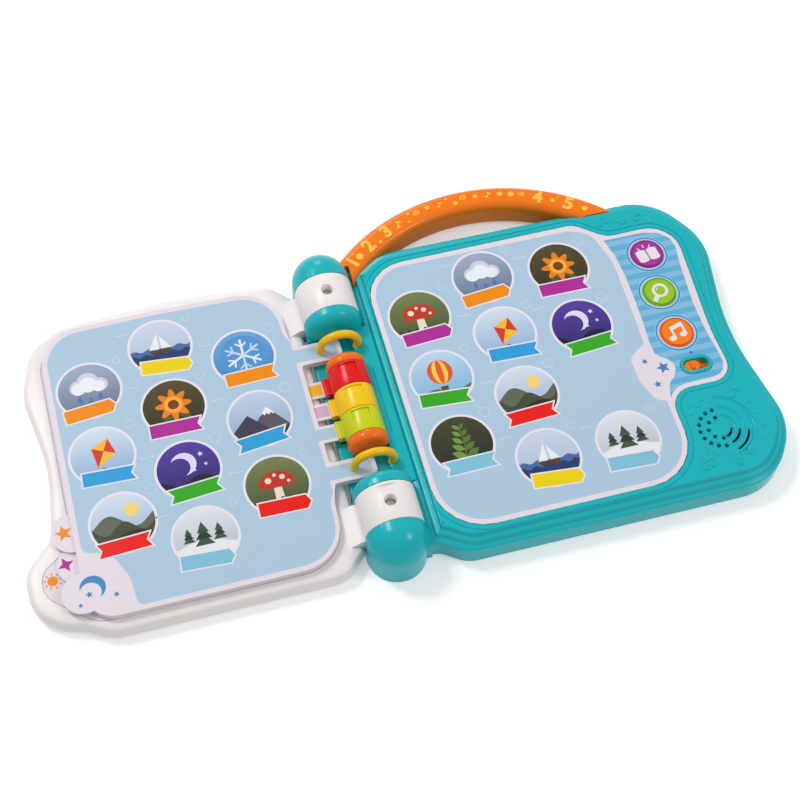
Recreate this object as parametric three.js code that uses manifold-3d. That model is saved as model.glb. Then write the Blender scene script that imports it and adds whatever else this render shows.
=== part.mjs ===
import * as THREE from 'three';
import { mergeVertices } from 'three/addons/utils/BufferGeometryUtils.js';
import Module from 'manifold-3d';

// Sound book, lying open and flat, in millimetres.
// X runs right across the spread, Y up towards the carry handle, Z up from the table.
// The origin is on the table under the middle of the spine.

const GAP = 0.3;
const STEPS = 28;

// Spine: the hinge line that the cover, the pages and the page rings all turn on
const AXIS_Z = 18.5;
const BARREL_R = 17.5;
const SPINE_END = 107.5;
const KNUCKLE_IN = 61;
const KNUCKLE_OUT = 85;
const COLLAR_IN = 50.5;
const SPINE_LEFT = -17;
const SPINE_FLOOR = 10.6;
const SPINE_SHELF = 16;
const SPINE_FOOT = 0;
const PIN_R = 2.5;
const PIN_IN = 52;
const PIN_OUT = 100;
const FLANK_END = 97;

// Base: the teal box with the electronics
const BASE_TOP = 20.9;
const BASE_LEFT = 18.2;
const BASE_HALF = 105.5;
const BASE_STEP = 10;
const WALL = 2.4;
const CEILING = 2;
const RECESS = 1.7;
const PLATE = 2.2;
const INNER_LEFT = 21;

// Printed sheets and the stiff pages
const SHEET = 0.6;
const FILM = 0.3;
const PAGE = 1.3;
const PAGE_LEFT = -174.4;
const PAGE_HALF = 94;
const PAGE_SPINE = -24.8;

// Cover
const COVER = 11;
const COVER_RIGHT = -18.2;
const COVER_WALL = 2.4;
const COVER_RECESS = 0.9;

// Binder rings and the page roller
const RING_R = 11.7;
const RING_TUBE = 2.5;
const RING_Y = [43.2, -38.8];
const RING_TONGUE = 13.6;
const ROLLER_MID = 1;
const ROLLER_R = 12;
const COLOUR_RING_R = 11.9;
const RING_LENGTH = 15.7;
const CAP_LENGTH = 6.4;
const SPINDLE_R = 2.5;
const LEVER_REACH = 15.8;
const LEVER_WIDTH = 11.4;
const LEVER_DEPTH = 4.6;
const TONGUE_END = -13.2;

// Carry handle
const HANDLE_X = 103;
const HANDLE_Y = 11.3;
const HANDLE_OUTER = 127;
const HANDLE_WIDTH = 16.3;
const HANDLE_LOW = 1.6;
const HANDLE_TOP = 20.6;

// Mode buttons, language switch and speaker
const BUTTONS = [['mode_button_pages', 203.2, 60.6], ['mode_button_search', 200.7, 31.5],
  ['mode_button_music', 200.7, 0.9]];
const BUTTON_R = 10.4;
const BUTTON_TOP = 21.9;
const BUTTON_FLANGE = 12.2;
const SWITCH_X = 204.2;
const SWITCH_Y = -23.3;
const SWITCH_LENGTH = 20;
const SWITCH_WIDTH = 12;
const SWITCH_RIM = 2.2;
const KNOB_LENGTH = 9.6;
const KNOB_TRAVEL = 5;
const SPEAKER_X = 202;
const SPEAKER_Y = -68;
const SPEAKER_R = 17;
const SPEAKER_DEPTH = 9;
const MAGNET_R = 9;

// Batteries
const CELL_R = 7.1;
const CELL_LENGTH = 50.2;
const CELL_PITCH = 15.2;
const CELLS_X = 128;
const TRAY_WALL = 1.6;
const CONTACT = 0.5;

const ROOM_TOP = BASE_TOP - RECESS - CEILING;
const BOARD_LOW = 8;
const BOARD = 1.6;

const wasm = await Module();
wasm.setup();

const TEAL = 0x0db9c1;
const WHITE = 0xede4e3;
const ORANGE = 0xfa7c03;
const RED = 0xee000c;
const YELLOW = 0xfdd201;
const LIME = 0xd3d704;
const STEEL = 0xb9bcc0;
const PALE_BLUE = 0xb2c9dd;
const GREEN_BOARD = 0x1f6b3a;
const DARK = 0x2a2a2e;
const PURPLE = 0xb0289a;
const GREEN = 0x8cc21a;

const book = new THREE.Group();

function solid(geometry) {
  // Turns a closed three.js geometry into a solid that can be cut and joined.
  const plain = geometry.clone();
  plain.deleteAttribute('normal');
  plain.deleteAttribute('uv');
  const merged = mergeVertices(plain, 1e-4);
  return new wasm.Manifold(new wasm.Mesh({
    numProp: 3,
    vertProperties: new Float32Array(merged.attributes.position.array),
    triVerts: new Uint32Array(merged.index.array),
  }));
}

function add(name, body, colour, roughness = 0.35, metalness = 0) {
  // Puts a finished solid into the book as a named mesh.
  const data = body.getMesh();
  const geometry = new THREE.BufferGeometry();
  geometry.setAttribute('position', new THREE.BufferAttribute(data.vertProperties, 3));
  geometry.setIndex(new THREE.BufferAttribute(data.triVerts, 1));
  geometry.computeVertexNormals();
  const material = new THREE.MeshStandardMaterial({ color: colour, roughness, metalness });
  const mesh = new THREE.Mesh(geometry, material);
  mesh.name = name;
  book.add(mesh);
  return mesh;
}

function join(...bodies) {
  return bodies.reduce((sum, next) => sum.add(next));
}

function rounded(corners, step = 16) {
  // A closed outline through corners [x, y, radius], each corner rounded by an arc.
  const points = [];
  corners.forEach(([x, y, radius], i) => {
    const before = corners[(i + corners.length - 1) % corners.length];
    const after = corners[(i + 1) % corners.length];
    const into = new THREE.Vector2(x - before[0], y - before[1]).normalize();
    const out = new THREE.Vector2(after[0] - x, after[1] - y).normalize();
    const turn = Math.atan2(into.cross(out), into.dot(out));
    if (!radius) {
      points.push(new THREE.Vector2(x, y));
      return;
    }
    const back = radius * Math.tan(Math.abs(turn) / 2);
    const side = Math.sign(turn);
    const start = new THREE.Vector2(x, y).addScaledVector(into, -back);
    const middle = start.clone().add(new THREE.Vector2(-into.y, into.x).multiplyScalar(side * radius));
    const count = Math.max(2, Math.ceil(THREE.MathUtils.radToDeg(Math.abs(turn)) / step));
    const first = Math.atan2(start.y - middle.y, start.x - middle.x);
    for (let k = 0; k <= count; k += 1) {
      const angle = first + (turn * k) / count;
      points.push(new THREE.Vector2(middle.x + radius * Math.cos(angle), middle.y + radius * Math.sin(angle)));
    }
  });
  return points;
}

function grown(outline, distance) {
  // The outline moved outwards along its own normals; inwards where distance is negative.
  return outline.map((point, i) => {
    const before = outline[(i + outline.length - 1) % outline.length];
    const after = outline[(i + 1) % outline.length];
    const into = point.clone().sub(before).normalize();
    const out = after.clone().sub(point).normalize();
    const normal = new THREE.Vector2(into.y + out.y, -into.x - out.x).normalize();
    const lean = Math.max(0.4, normal.dot(new THREE.Vector2(into.y, -into.x)));
    return point.clone().addScaledVector(normal, distance / lean);
  });
}

function loft(outline, levels) {
  // A closed solid through copies of one outline: levels are [growth, z] from the bottom up.
  const rings = levels.map(([growth, z]) => grown(outline, growth).map((p) => [p.x, p.y, z]));
  const count = outline.length;
  const index = [];
  for (let level = 0; level < rings.length - 1; level += 1) {
    for (let i = 0; i < count; i += 1) {
      const a = level * count + i;
      const b = level * count + ((i + 1) % count);
      index.push(a, b, b + count, a, b + count, a + count);
    }
  }
  const cap = (level, flip) => {
    const flat = rings[level].map(([x, y]) => new THREE.Vector2(x, y));
    THREE.ShapeUtils.triangulateShape(flat, []).forEach(([a, b, c]) => {
      const at = [a, b, c].map((k) => level * count + k);
      index.push(...(flip ? at.reverse() : at));
    });
  };
  cap(0, true);
  cap(rings.length - 1, false);
  const geometry = new THREE.BufferGeometry();
  geometry.setAttribute('position', new THREE.Float32BufferAttribute(rings.flat(2), 3));
  geometry.setIndex(index);
  return solid(geometry);
}

function block(x0, x1, y0, y1, z0, z1) {
  const geometry = new THREE.BoxGeometry(x1 - x0, y1 - y0, z1 - z0);
  geometry.translate((x0 + x1) / 2, (y0 + y1) / 2, (z0 + z1) / 2);
  return solid(geometry);
}

function disc(x, y, radius, z0, z1, sides = 20) {
  const geometry = new THREE.CylinderGeometry(radius, radius, z1 - z0, sides);
  geometry.rotateX(Math.PI / 2);
  geometry.translate(x, y, (z0 + z1) / 2);
  return solid(geometry);
}

function barrel(radius, y0, y1, sides = STEPS) {
  // A cylinder round the hinge line.
  const geometry = new THREE.CylinderGeometry(radius, radius, y1 - y0, sides);
  geometry.translate(0, (y0 + y1) / 2, AXIS_Z);
  return solid(geometry);
}

function turned(profile, sides = STEPS) {
  // A turned solid round the hinge line: profile is [radius, y] from the low y to the high y.
  const geometry = new THREE.LatheGeometry(profile.map(([r, y]) => new THREE.Vector2(r, y)), sides);
  geometry.translate(0, 0, AXIS_Z);
  return solid(geometry);
}

function mirrored(body) {
  return body.mirror([0, 1, 0]);
}

// Base outline: straight long sides, a waisted right side and an S-bend beside each end of the spine
const baseOutline = rounded([
  [BASE_LEFT, BASE_STEP - BASE_HALF, 0], [24, BASE_STEP - 0.5 - BASE_HALF, 12], [38, -BASE_HALF, 20],
  [225, -BASE_HALF, 36], [247, 33.5 - BASE_HALF, 40], [234.2, -2, 150], [246, BASE_HALF - 37.5, 42],
  [222, BASE_HALF, 36], [38, BASE_HALF, 20], [24, BASE_HALF - BASE_STEP + 0.5, 12],
  [BASE_LEFT, BASE_HALF - BASE_STEP, 0],
]);
const RIM_PROFILE = [[0, SPINE_FOOT], [0, 13.4], [-1.1, 14.9], [-3.4, 15.4], [-4.2, 17.6], [-6.9, 18.4],
  [-7.9, BASE_TOP]];
const ROOM_PROFILE = [[-WALL, -1], [-WALL, 11.6], [-6.3, 13.4], [-9.8, ROOM_TOP]];

// Printed sheet on the base, with its striped right strip, notched for the speaker
const overlayOutline = rounded([
  [26.4, 10.9 - BASE_HALF, 30], [181, 11.1 - BASE_HALF, 30], [181, -37.2, 14], [223.6, -37.2, 12],
  [221.6, -2, 120], [227, BASE_HALF - 24.9, 19], [183, BASE_HALF - 25.9, 14],
  [165, BASE_HALF - 11.9, 12], [26.4, BASE_HALF - 13.5, 26],
]);

function domeEnd() {
  // The end of the spine: a rounded top over an upright wall.
  const centre = SPINE_END - BARREL_R;
  const ball = new THREE.SphereGeometry(BARREL_R, STEPS, 16);
  ball.translate(0, centre, AXIS_Z);
  const above = block(-40, 40, 60, 140, AXIS_Z, 60);
  const top = solid(ball).add(barrel(BARREL_R, KNUCKLE_OUT + GAP, centre)).intersect(above);
  const foot = disc(0, centre, BARREL_R, SPINE_FOOT, AXIS_Z + 0.1, STEPS)
    .add(block(-BARREL_R, BARREL_R, KNUCKLE_OUT + GAP, centre, SPINE_FOOT, AXIS_Z + 0.1));
  return top.add(foot).subtract(block(-40, 40, 60, KNUCKLE_OUT + GAP, -1, 60));
}

function collar() {
  // The short teal barrel on the inner side of each white knuckle, domed towards the binder ring.
  const end = KNUCKLE_IN - GAP;
  const top = turned([[0, COLLAR_IN], [9, COLLAR_IN + 0.4], [14, COLLAR_IN + 1.8], [16.6, COLLAR_IN + 4.2],
    [BARREL_R, COLLAR_IN + 7.4], [BARREL_R, end], [0, end]]);
  return top.add(block(SPINE_LEFT, BARREL_R, COLLAR_IN + 2, end, SPINE_FOOT, AXIS_Z - 4));
}

function ringTube(radius, low, high) {
  // An arc of round rod about the hinge line, from the angle low to the angle high, in degrees.
  const path = new THREE.CatmullRomCurve3(Array.from({ length: 17 }, (_, i) => {
    const angle = THREE.MathUtils.degToRad(low + ((high - low) * i) / 16);
    return new THREE.Vector3(RING_R * Math.cos(angle), 0, AXIS_Z + RING_R * Math.sin(angle));
  }));
  const section = new THREE.Shape();
  section.absarc(0, 0, radius, 0, 2 * Math.PI);
  const settings = { steps: 18, curveSegments: 4, bevelEnabled: false, extrudePath: path };
  return solid(new THREE.ExtrudeGeometry(section, settings));
}

const RING_FROM = -32;
const RING_TO = 232;

function leverRange(index) {
  // Where along the spine the lever of page ring 0, 1 or 2 sits.
  const middle = ROLLER_MID + (1 - index) * (RING_LENGTH + GAP) + 2.2;
  return [middle - LEVER_WIDTH / 2, middle + LEVER_WIDTH / 2];
}

function pageLow(index) {
  return COVER + GAP + index * (PAGE + GAP);
}

const rollerHalf = 1.5 * RING_LENGTH + 2 * GAP;

const SCREWS = [[36, BASE_HALF - 25.5], [36, 25.5 - BASE_HALF], [112, BASE_HALF - 19.5],
  [112, 19.5 - BASE_HALF], [214, BASE_HALF - 23.5], [176, 21.5 - BASE_HALF]];
const BOSS_R = 3.6;
const SCREW_R = 1.4;

function baseTopShell() {
  let body = loft(baseOutline, RIM_PROFILE);
  const room = loft(baseOutline, ROOM_PROFILE)
    .intersect(block(INNER_LEFT, 260, -120, 120, -2, ROOM_TOP));
  body = body.subtract(room);
  const spine = solid(new THREE.ExtrudeGeometry(new THREE.Shape([
    [SPINE_LEFT, SPINE_FOOT], [BASE_LEFT + 3, SPINE_FOOT], [BASE_LEFT + 3, SPINE_SHELF],
    [8.6, SPINE_SHELF], [7.8, SPINE_FLOOR], [SPINE_LEFT, SPINE_FLOOR],
  ].map(([x, z]) => new THREE.Vector2(x, z))), { depth: 2 * COLLAR_IN + 8, bevelEnabled: false })
    .rotateX(Math.PI / 2).translate(0, COLLAR_IN + 4, 0));
  const ends = domeEnd().add(collar());
  body = join(body, spine, ends, mirrored(ends));
  const flank = block(10, BASE_LEFT + 1, KNUCKLE_OUT + GAP, FLANK_END, SPINE_FOOT, SPINE_SHELF);
  body = join(body, flank, mirrored(flank));

  // Room for the cover's knuckles, the hinge pins, the roller and the binder rings
  const knuckleRoom = barrel(BARREL_R + 0.6, KNUCKLE_IN - GAP, KNUCKLE_OUT + GAP);
  const pinRoom = barrel(PIN_R + GAP, PIN_IN - GAP, PIN_OUT + GAP, 20);
  body = body.subtract(join(knuckleRoom, pinRoom, mirrored(knuckleRoom), mirrored(pinRoom)));
  const rollerEnd = rollerHalf + CAP_LENGTH + GAP;
  body = body.subtract(barrel(ROLLER_R + GAP, ROLLER_MID - rollerEnd, ROLLER_MID + rollerEnd));
  for (let i = 0; i < 3; i += 1) {
    const [from, to] = leverRange(i);
    const sweep = barrel(LEVER_REACH + 0.6, from - 0.5, to + 0.5)
      .intersect(block(-30, -8, from - 1, to + 1, 6, 40));
    body = body.subtract(sweep);
  }
  RING_Y.forEach((y) => {
    body = body.subtract(ringTube(RING_TUBE + GAP, RING_FROM - 3, RING_TO + 3).translate([0, y, 0]));
  });

  // Recess for the printed sheet, holes for the buttons, the switch and the sound
  body = body.subtract(loft(grown(overlayOutline, GAP), [[0, BASE_TOP - RECESS], [0, BASE_TOP + 5]]));
  const rim = oval(SWITCH_LENGTH, SWITCH_WIDTH, BASE_TOP - RECESS - 0.5, BASE_TOP + 0.5);
  const mouth = oval(SWITCH_LENGTH - 2 * SWITCH_RIM, SWITCH_WIDTH - 2 * SWITCH_RIM, ROOM_TOP - 1, 30);
  body = body.add(rim).subtract(mouth);
  BUTTONS.forEach(([, x, y]) => {
    body = body.subtract(disc(x, y, BUTTON_R + GAP, ROOM_TOP - 1, BASE_TOP + 1));
  });
  body = body.subtract(soundHoles());

  // Screw bosses under the ceiling
  SCREWS.forEach(([x, y]) => {
    body = body.add(disc(x, y, BOSS_R, PLATE + GAP, ROOM_TOP + 0.5, 14));
    body = body.subtract(disc(x, y, SCREW_R + GAP, PLATE, 13.4, 12));
  });

  // Slots for the handle's tenons
  body = body.subtract(tenons(GAP));

  // Joint line of the roller's housing
  const line = block(15.4, 16.2, -20.8, 24.6, SPINE_SHELF - 0.6, SPINE_SHELF + 1);
  return body.subtract(line);
}

function oval(length, width, z0, z1, x = SWITCH_X) {
  // A stadium at the language switch, or at x along its slot.
  const half = (length - width) / 2;
  return join(disc(x - half, SWITCH_Y, width / 2, z0, z1, 16),
    disc(x + half, SWITCH_Y, width / 2, z0, z1, 16),
    block(x - half, x + half, SWITCH_Y - width / 2, SWITCH_Y + width / 2, z0, z1));
}

function soundHoles() {
  // Two part rings of round holes on the left, three arched slots on the lower right.
  const holes = [];
  const rings = [[12.2, 9, 92, 268], [7, 5, 92, 268]];
  rings.forEach(([radius, count, from, to]) => {
    for (let i = 0; i < count; i += 1) {
      const angle = THREE.MathUtils.degToRad(from + ((to - from) * i) / (count - 1));
      const x = SPEAKER_X + radius * Math.cos(angle);
      const y = SPEAKER_Y + radius * Math.sin(angle);
      holes.push(disc(x, y, 1.25, ROOM_TOP - 1, BASE_TOP + 1, 8));
    }
  });
  const [slotFrom, slotTo] = [-1.26, -0.3];
  [6.7, 11.6, 17].forEach((radius) => {
    const slot = new THREE.Shape();
    slot.absarc(0, 0, radius + 0.7, slotFrom, slotTo, false);
    slot.absarc(0, 0, radius - 0.7, slotTo, slotFrom, true);
    const settings = { depth: 6, bevelEnabled: false, curveSegments: 4 };
    holes.push(solid(new THREE.ExtrudeGeometry(slot, settings))
      .translate([SPEAKER_X, SPEAKER_Y, ROOM_TOP - 1]));
  });
  return join(...holes);
}

function archBand(inner, outer, z0, z1, edge) {
  // A band of the handle's arch, from one foot round to the other, with bevelled edges.
  const reach = THREE.MathUtils.degToRad(50);
  const steps = 18;
  const arc = (radius, from, to) => Array.from({ length: steps + 1 }, (_, i) => {
    const angle = from + ((to - from) * i) / steps;
    return new THREE.Vector2(radius * Math.cos(angle), radius * Math.sin(angle));
  });
  const [low, high] = [Math.PI / 2 - reach, Math.PI / 2 + reach];
  const outline = [...arc(outer, low, high), ...arc(inner, high, low)];
  const levels = [[-edge, z0], [-edge * 0.3, z0 + edge * 0.3], [0, z0 + edge], [0, z1 - edge],
    [-edge * 0.3, z1 - edge * 0.3], [-edge, z1]];
  const body = edge ? loft(outline, levels) : loft(outline, [[0, z0], [0, z1]]);
  return body.translate([HANDLE_X, HANDLE_Y, 0]);
}

function tenons(clearance) {
  // The two tongues that carry the handle inside the wall of the base.
  const band = archBand(HANDLE_OUTER - HANDLE_WIDTH + 4 - clearance, HANDLE_OUTER - 4 + clearance,
    5 - clearance, 11 + clearance, 0);
  return band.intersect(block(20, 190, BASE_HALF - 7.5 - clearance, BASE_HALF + 3, 0, 20))
    .subtract(block(64, 142, 80, 140, 0, 30));
}

function handle() {
  const arch = archBand(HANDLE_OUTER - HANDLE_WIDTH, HANDLE_OUTER, HANDLE_LOW, HANDLE_TOP, 4.4);
  const behind = loft(grown(baseOutline, GAP), [[0, -1], [0, 60]])
    .add(disc(0, SPINE_END - BARREL_R, BARREL_R + GAP, -1, 60, STEPS))
    .add(block(-60, BASE_LEFT + 1 + GAP, -150, FLANK_END + GAP, -1, 60))
    .add(block(-60, 260, -150, 60, -1, 60));
  return arch.subtract(behind).add(tenons(0));
}

add('base_top_shell', baseTopShell(), TEAL);
add('carry_handle', handle(), ORANGE);

const CELL_Z = PLATE + 0.7 + CELL_R;
const trayHalfX = CELL_PITCH / 2 + CELL_R + GAP + TRAY_WALL;
const trayHalfY = CELL_LENGTH / 2 + 2.4 + TRAY_WALL;
const BOARD_X = [187, 221];
const BOARD_Y = [-36, 76];

function basePlate() {
  let body = loft(baseOutline, [[-WALL - GAP - 0.5, 0], [-WALL - GAP, 0.5], [-WALL - GAP, PLATE]])
    .intersect(block(INNER_LEFT + GAP, 260, -120, 120, -1, 10));
  body = body.add(block(CELLS_X - trayHalfX, CELLS_X + trayHalfX, -trayHalfY, trayHalfY, 0.5, 14));
  body = body.subtract(block(CELLS_X - trayHalfX + TRAY_WALL, CELLS_X + trayHalfX - TRAY_WALL,
    -trayHalfY + TRAY_WALL, trayHalfY - TRAY_WALL, -1, 20));
  for (const x of [BOARD_X[0] + 4, BOARD_X[1] - 4]) {
    for (const y of [BOARD_Y[0] + 4, BOARD_Y[1] - 4]) {
      body = body.add(disc(x, y, 3, PLATE - 0.5, BOARD_LOW - GAP, 12));
    }
  }
  SCREWS.forEach(([x, y]) => {
    body = body.subtract(disc(x, y, SCREW_R + GAP, -1, 5, 12));
    body = body.subtract(disc(x, y, 2.8 + GAP, -1, 1.2, 14));
  });
  const boss = disc(CELLS_X, -trayHalfY - 4, 3.4, PLATE - 0.5, 9, 14);
  const bore = disc(CELLS_X, -trayHalfY - 4, SCREW_R + GAP, -1, 8, 12);
  const doorSeat = block(CELLS_X - 6, CELLS_X + 6, -trayHalfY - 9, -trayHalfY + 4, -1, 1.2);
  return body.add(boss).subtract(bore).subtract(doorSeat);
}

add('base_bottom_plate', basePlate(), TEAL);

// Battery door with its screw ear, two cells and their contacts
const doorHalfX = trayHalfX - TRAY_WALL - GAP;
const doorHalfY = trayHalfY - TRAY_WALL - GAP;
const screwY = -trayHalfY - 4;
const door = block(CELLS_X - doorHalfX, CELLS_X + doorHalfX, -doorHalfY, doorHalfY, 0.2, 0.2 + 1.6)
  .add(block(CELLS_X - 5.7, CELLS_X + 5.7, screwY - 4.6, -doorHalfY + 2, 0.2, 0.9))
  .subtract(disc(CELLS_X, screwY, SCREW_R + GAP, -1, 5, 12));
add('battery_door', door, TEAL);
const doorScrew = disc(CELLS_X, screwY, SCREW_R, 0.1, 7.6, 10);
add('battery_door_screw', doorScrew, STEEL, 0.3, 0.9);
for (const [i, side] of [[1, -1], [2, 1]]) {
  const x = CELLS_X + (side * CELL_PITCH) / 2;
  const can = disc(x, 0, CELL_R, -CELL_LENGTH / 2, CELL_LENGTH / 2 - 1.4, 20);
  const nub = disc(x, 0, 2.7, -CELL_LENGTH / 2, CELL_LENGTH / 2, 14);
  const cell = can.add(nub).rotate([side * 90, 0, 0]).translate([0, 0, 0]);
  add(`battery_cell_${i}`, cell.translate([0, 0, CELL_Z]), DARK, 0.4, 0.3);
}
for (const [name, side] of [['battery_contact_a', -1], ['battery_contact_b', 1]]) {
  const at = side * (CELL_LENGTH / 2 + GAP + CONTACT / 2);
  add(name, block(CELLS_X - 12, CELLS_X + 12, at - CONTACT / 2, at + CONTACT / 2, 4, 15), STEEL, 0.3, 0.9);
}

// Case screws, driven from below
SCREWS.forEach(([x, y], i) => {
  const screw = disc(x, y, SCREW_R, 0.6, 12.6, 10).add(disc(x, y, 2.8, 0.2, 0.9, 14));
  add(`case_screw_${i + 1}`, screw, STEEL, 0.3, 0.9);
});

// Printed sheet and the touch film below it
function sheetHoles(body) {
  BUTTONS.forEach(([, x, y]) => {
    body = body.subtract(disc(x, y, BUTTON_R + GAP, 0, 30));
  });
  return body.subtract(oval(SWITCH_LENGTH + 2 * GAP, SWITCH_WIDTH + 2 * GAP, 0, 30));
}
const filmLow = BASE_TOP - RECESS + GAP;
const sheetLow = filmLow + FILM + GAP;
add('touch_film', sheetHoles(loft(grown(overlayOutline, -2), [[0, filmLow], [0, filmLow + FILM]])), 0xd8d0b8);
add('base_printed_sheet', sheetHoles(loft(overlayOutline, [[0, sheetLow], [0, sheetLow + SHEET]])), PALE_BLUE);

// Mode buttons, each on a tact switch on the circuit board
BUTTONS.forEach(([name, x, y], i) => {
  const cap = disc(x, y, BUTTON_R, ROOM_TOP - 1, BUTTON_TOP - 0.6)
    .add(disc(x, y, BUTTON_R - 0.9, ROOM_TOP, BUTTON_TOP));
  const flange = disc(x, y, BUTTON_FLANGE, ROOM_TOP - GAP - 1.2, ROOM_TOP - GAP);
  add(name, cap.add(flange), [PURPLE, GREEN, ORANGE][i]);
  add(`button_switch_${i + 1}`, block(x - 3, x + 3, y - 3, y + 3, BOARD_LOW + BOARD + GAP, 14)
    .add(disc(x, y, 1.7, 13, 14.4, 12)), DARK, 0.5);
});

// Language switch: an orange knob over a slide switch
const knobRest = SWITCH_X - KNOB_TRAVEL / 2;
const mouthWidth = SWITCH_WIDTH - 2 * SWITCH_RIM;
const knob = oval(KNOB_LENGTH, mouthWidth - 2 * GAP, ROOM_TOP - 1, BASE_TOP - 0.6, knobRest)
  .add(block(knobRest - 0.9, knobRest + 0.9, SWITCH_Y - 2.4, SWITCH_Y + 2.4, BASE_TOP - 1, BASE_TOP + 0.9))
  .add(block(knobRest - 10.4, knobRest + 10.4, SWITCH_Y - 5.4, SWITCH_Y + 5.4,
    ROOM_TOP - GAP - 1.2, ROOM_TOP - GAP));
add('language_knob', knob, ORANGE);
add('language_switch', block(SWITCH_X - 6, SWITCH_X + 6, SWITCH_Y - 3, SWITCH_Y + 3,
  BOARD_LOW + BOARD + GAP, 15), STEEL, 0.3, 0.9);

// Circuit board and speaker
add('circuit_board', block(BOARD_X[0], BOARD_X[1], BOARD_Y[0], BOARD_Y[1], BOARD_LOW, BOARD_LOW + BOARD),
  GREEN_BOARD, 0.5);
const speakerTop = ROOM_TOP - GAP;
const speakerLow = speakerTop - SPEAKER_DEPTH;
const cone = new THREE.LatheGeometry([[0, speakerTop - 6], [4, speakerTop - 6], [13.5, speakerTop - 1.4],
  [13.5, speakerTop + 1], [0, speakerTop + 1]].map(([r, z]) => new THREE.Vector2(r, z)), 28).rotateX(Math.PI / 2);
const basket = disc(SPEAKER_X, SPEAKER_Y, SPEAKER_R, speakerTop - 2, speakerTop)
  .add(disc(SPEAKER_X, SPEAKER_Y, 12.6, speakerLow, speakerTop - 1))
  .subtract(solid(cone).translate([SPEAKER_X, SPEAKER_Y, 0]));
add('speaker_driver', basket, DARK, 0.6);
add('speaker_magnet', disc(SPEAKER_X, SPEAKER_Y, MAGNET_R, PLATE + GAP, speakerLow - GAP), STEEL, 0.4, 0.8);

// Hinge pins, binder rings
const pin = barrel(PIN_R, PIN_IN, PIN_OUT, 18);
add('hinge_pin_top', pin, STEEL, 0.3, 0.9);
add('hinge_pin_bottom', mirrored(pin), STEEL, 0.3, 0.9);
RING_Y.forEach((y, i) => {
  const ring = ringTube(RING_TUBE, RING_FROM, RING_TO).translate([0, y, 0]);
  add(`binder_ring_${['top', 'bottom'][i]}`, ring, 0xf2bd0a);
});

// Roller: a spindle, two orange end caps and a coloured ring for each page
const capIn = ROLLER_MID + rollerHalf;
const capOut = capIn + CAP_LENGTH;
add('roller_spindle', barrel(SPINDLE_R, ROLLER_MID - rollerHalf - 4, ROLLER_MID + rollerHalf + 4, 18), STEEL, 0.3, 0.9);
const capProfile = [[0, capIn], [ROLLER_R, capIn], [ROLLER_R, capOut - 2.6], [ROLLER_R - 0.9, capOut - 0.8],
  [ROLLER_R - 3, capOut], [0, capOut]];
const capBore = barrel(SPINDLE_R + GAP, capIn - 1, capIn + 4 + GAP, 20);
const cap = turned(capProfile, 28).subtract(capBore);
add('roller_cap_top', cap, ORANGE);
add('roller_cap_bottom', mirrored(cap.translate([0, -ROLLER_MID, 0])).translate([0, ROLLER_MID, 0]), ORANGE);

const PAGE_NAMES = ['one', 'two', 'three'];
PAGE_NAMES.forEach((name, i) => {
  const middle = ROLLER_MID + (1 - i) * (RING_LENGTH + GAP);
  const [from, to] = leverRange(i);
  const low = pageLow(i);
  const band = turned([[0, middle - RING_LENGTH / 2], [COLOUR_RING_R, middle - RING_LENGTH / 2],
    [COLOUR_RING_R, middle + RING_LENGTH / 2], [0, middle + RING_LENGTH / 2]], 32);
  const dent = turned([[COLOUR_RING_R - 0.9, middle + 0.6], [20, middle + 0.6], [20, middle + 6.4],
    [COLOUR_RING_R - 0.9, middle + 6.4], [COLOUR_RING_R - 0.9, middle + 0.6]], 32)
    .intersect(block(-6.6, 4.6, -60, 60, AXIS_Z, 60));
  const mid = low + PAGE / 2;
  const lever = block(-LEVER_REACH, -6, from, to, mid - LEVER_DEPTH / 2, mid + LEVER_DEPTH / 2)
    .intersect(barrel(LEVER_REACH + 0.3, from - 1, to + 1));
  const slot = block(-20, TONGUE_END + GAP, from - 1, to + 1, low - GAP, low + PAGE + GAP);
  const bore = barrel(SPINDLE_R + GAP, middle - 10, middle + 10, 20);
  const ring = band.subtract(dent).add(lever).subtract(slot).subtract(bore);
  add(`page_ring_${name}`, ring, [RED, YELLOW, LIME][i]);
});

// Pages: stiff boards with two tongues on the binder rings, one on the page ring, and a thumb tab
const TAB_R = 12;
const TAB_Y = [36.5, 55.5, 17].map((from) => from - PAGE_HALF);

function pageOutline(from, to) {
  const [ringTop, ringLow] = RING_Y;
  const half = RING_TONGUE / 2;
  return rounded([
    [PAGE_LEFT, -PAGE_HALF - 0.6, 17], [-30, -PAGE_HALF, 26], [-28, 37 - PAGE_HALF, 20],
    [PAGE_SPINE, ringLow - half, 2], [1.2, ringLow - half, 4], [1.2, ringLow + half, 4],
    [PAGE_SPINE, ringLow + half, 2],
    [PAGE_SPINE, from, 1], [TONGUE_END, from, 0], [TONGUE_END, to, 0], [PAGE_SPINE, to, 1],
    [PAGE_SPINE, ringTop - half, 2], [1.2, ringTop - half, 4], [1.2, ringTop + half, 4],
    [PAGE_SPINE, ringTop + half, 2], [-28, PAGE_HALF - 37, 20], [-30, PAGE_HALF + 0.5, 26],
    [-102, PAGE_HALF + 2.6, 300],
    [PAGE_LEFT, PAGE_HALF + 1, 25],
  ]);
}

PAGE_NAMES.forEach((name, i) => {
  const [from, to] = leverRange(i);
  const low = pageLow(i);
  let page = loft(pageOutline(from + 0.2, to - 0.2), [[0, low], [0, low + PAGE]]);
  page = page.add(disc(PAGE_LEFT, TAB_Y[i], TAB_R, low, low + PAGE, 32));
  const drop = AXIS_Z - low - PAGE / 2;
  const holeX = -Math.sqrt(RING_R ** 2 - drop ** 2);
  RING_Y.forEach((y) => {
    page = page.subtract(disc(holeX, y, RING_TUBE + 1.7, low - 1, low + PAGE + 1, 16));
  });
  add(`page_${name}`, page, PALE_BLUE, 0.3);
});

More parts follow.
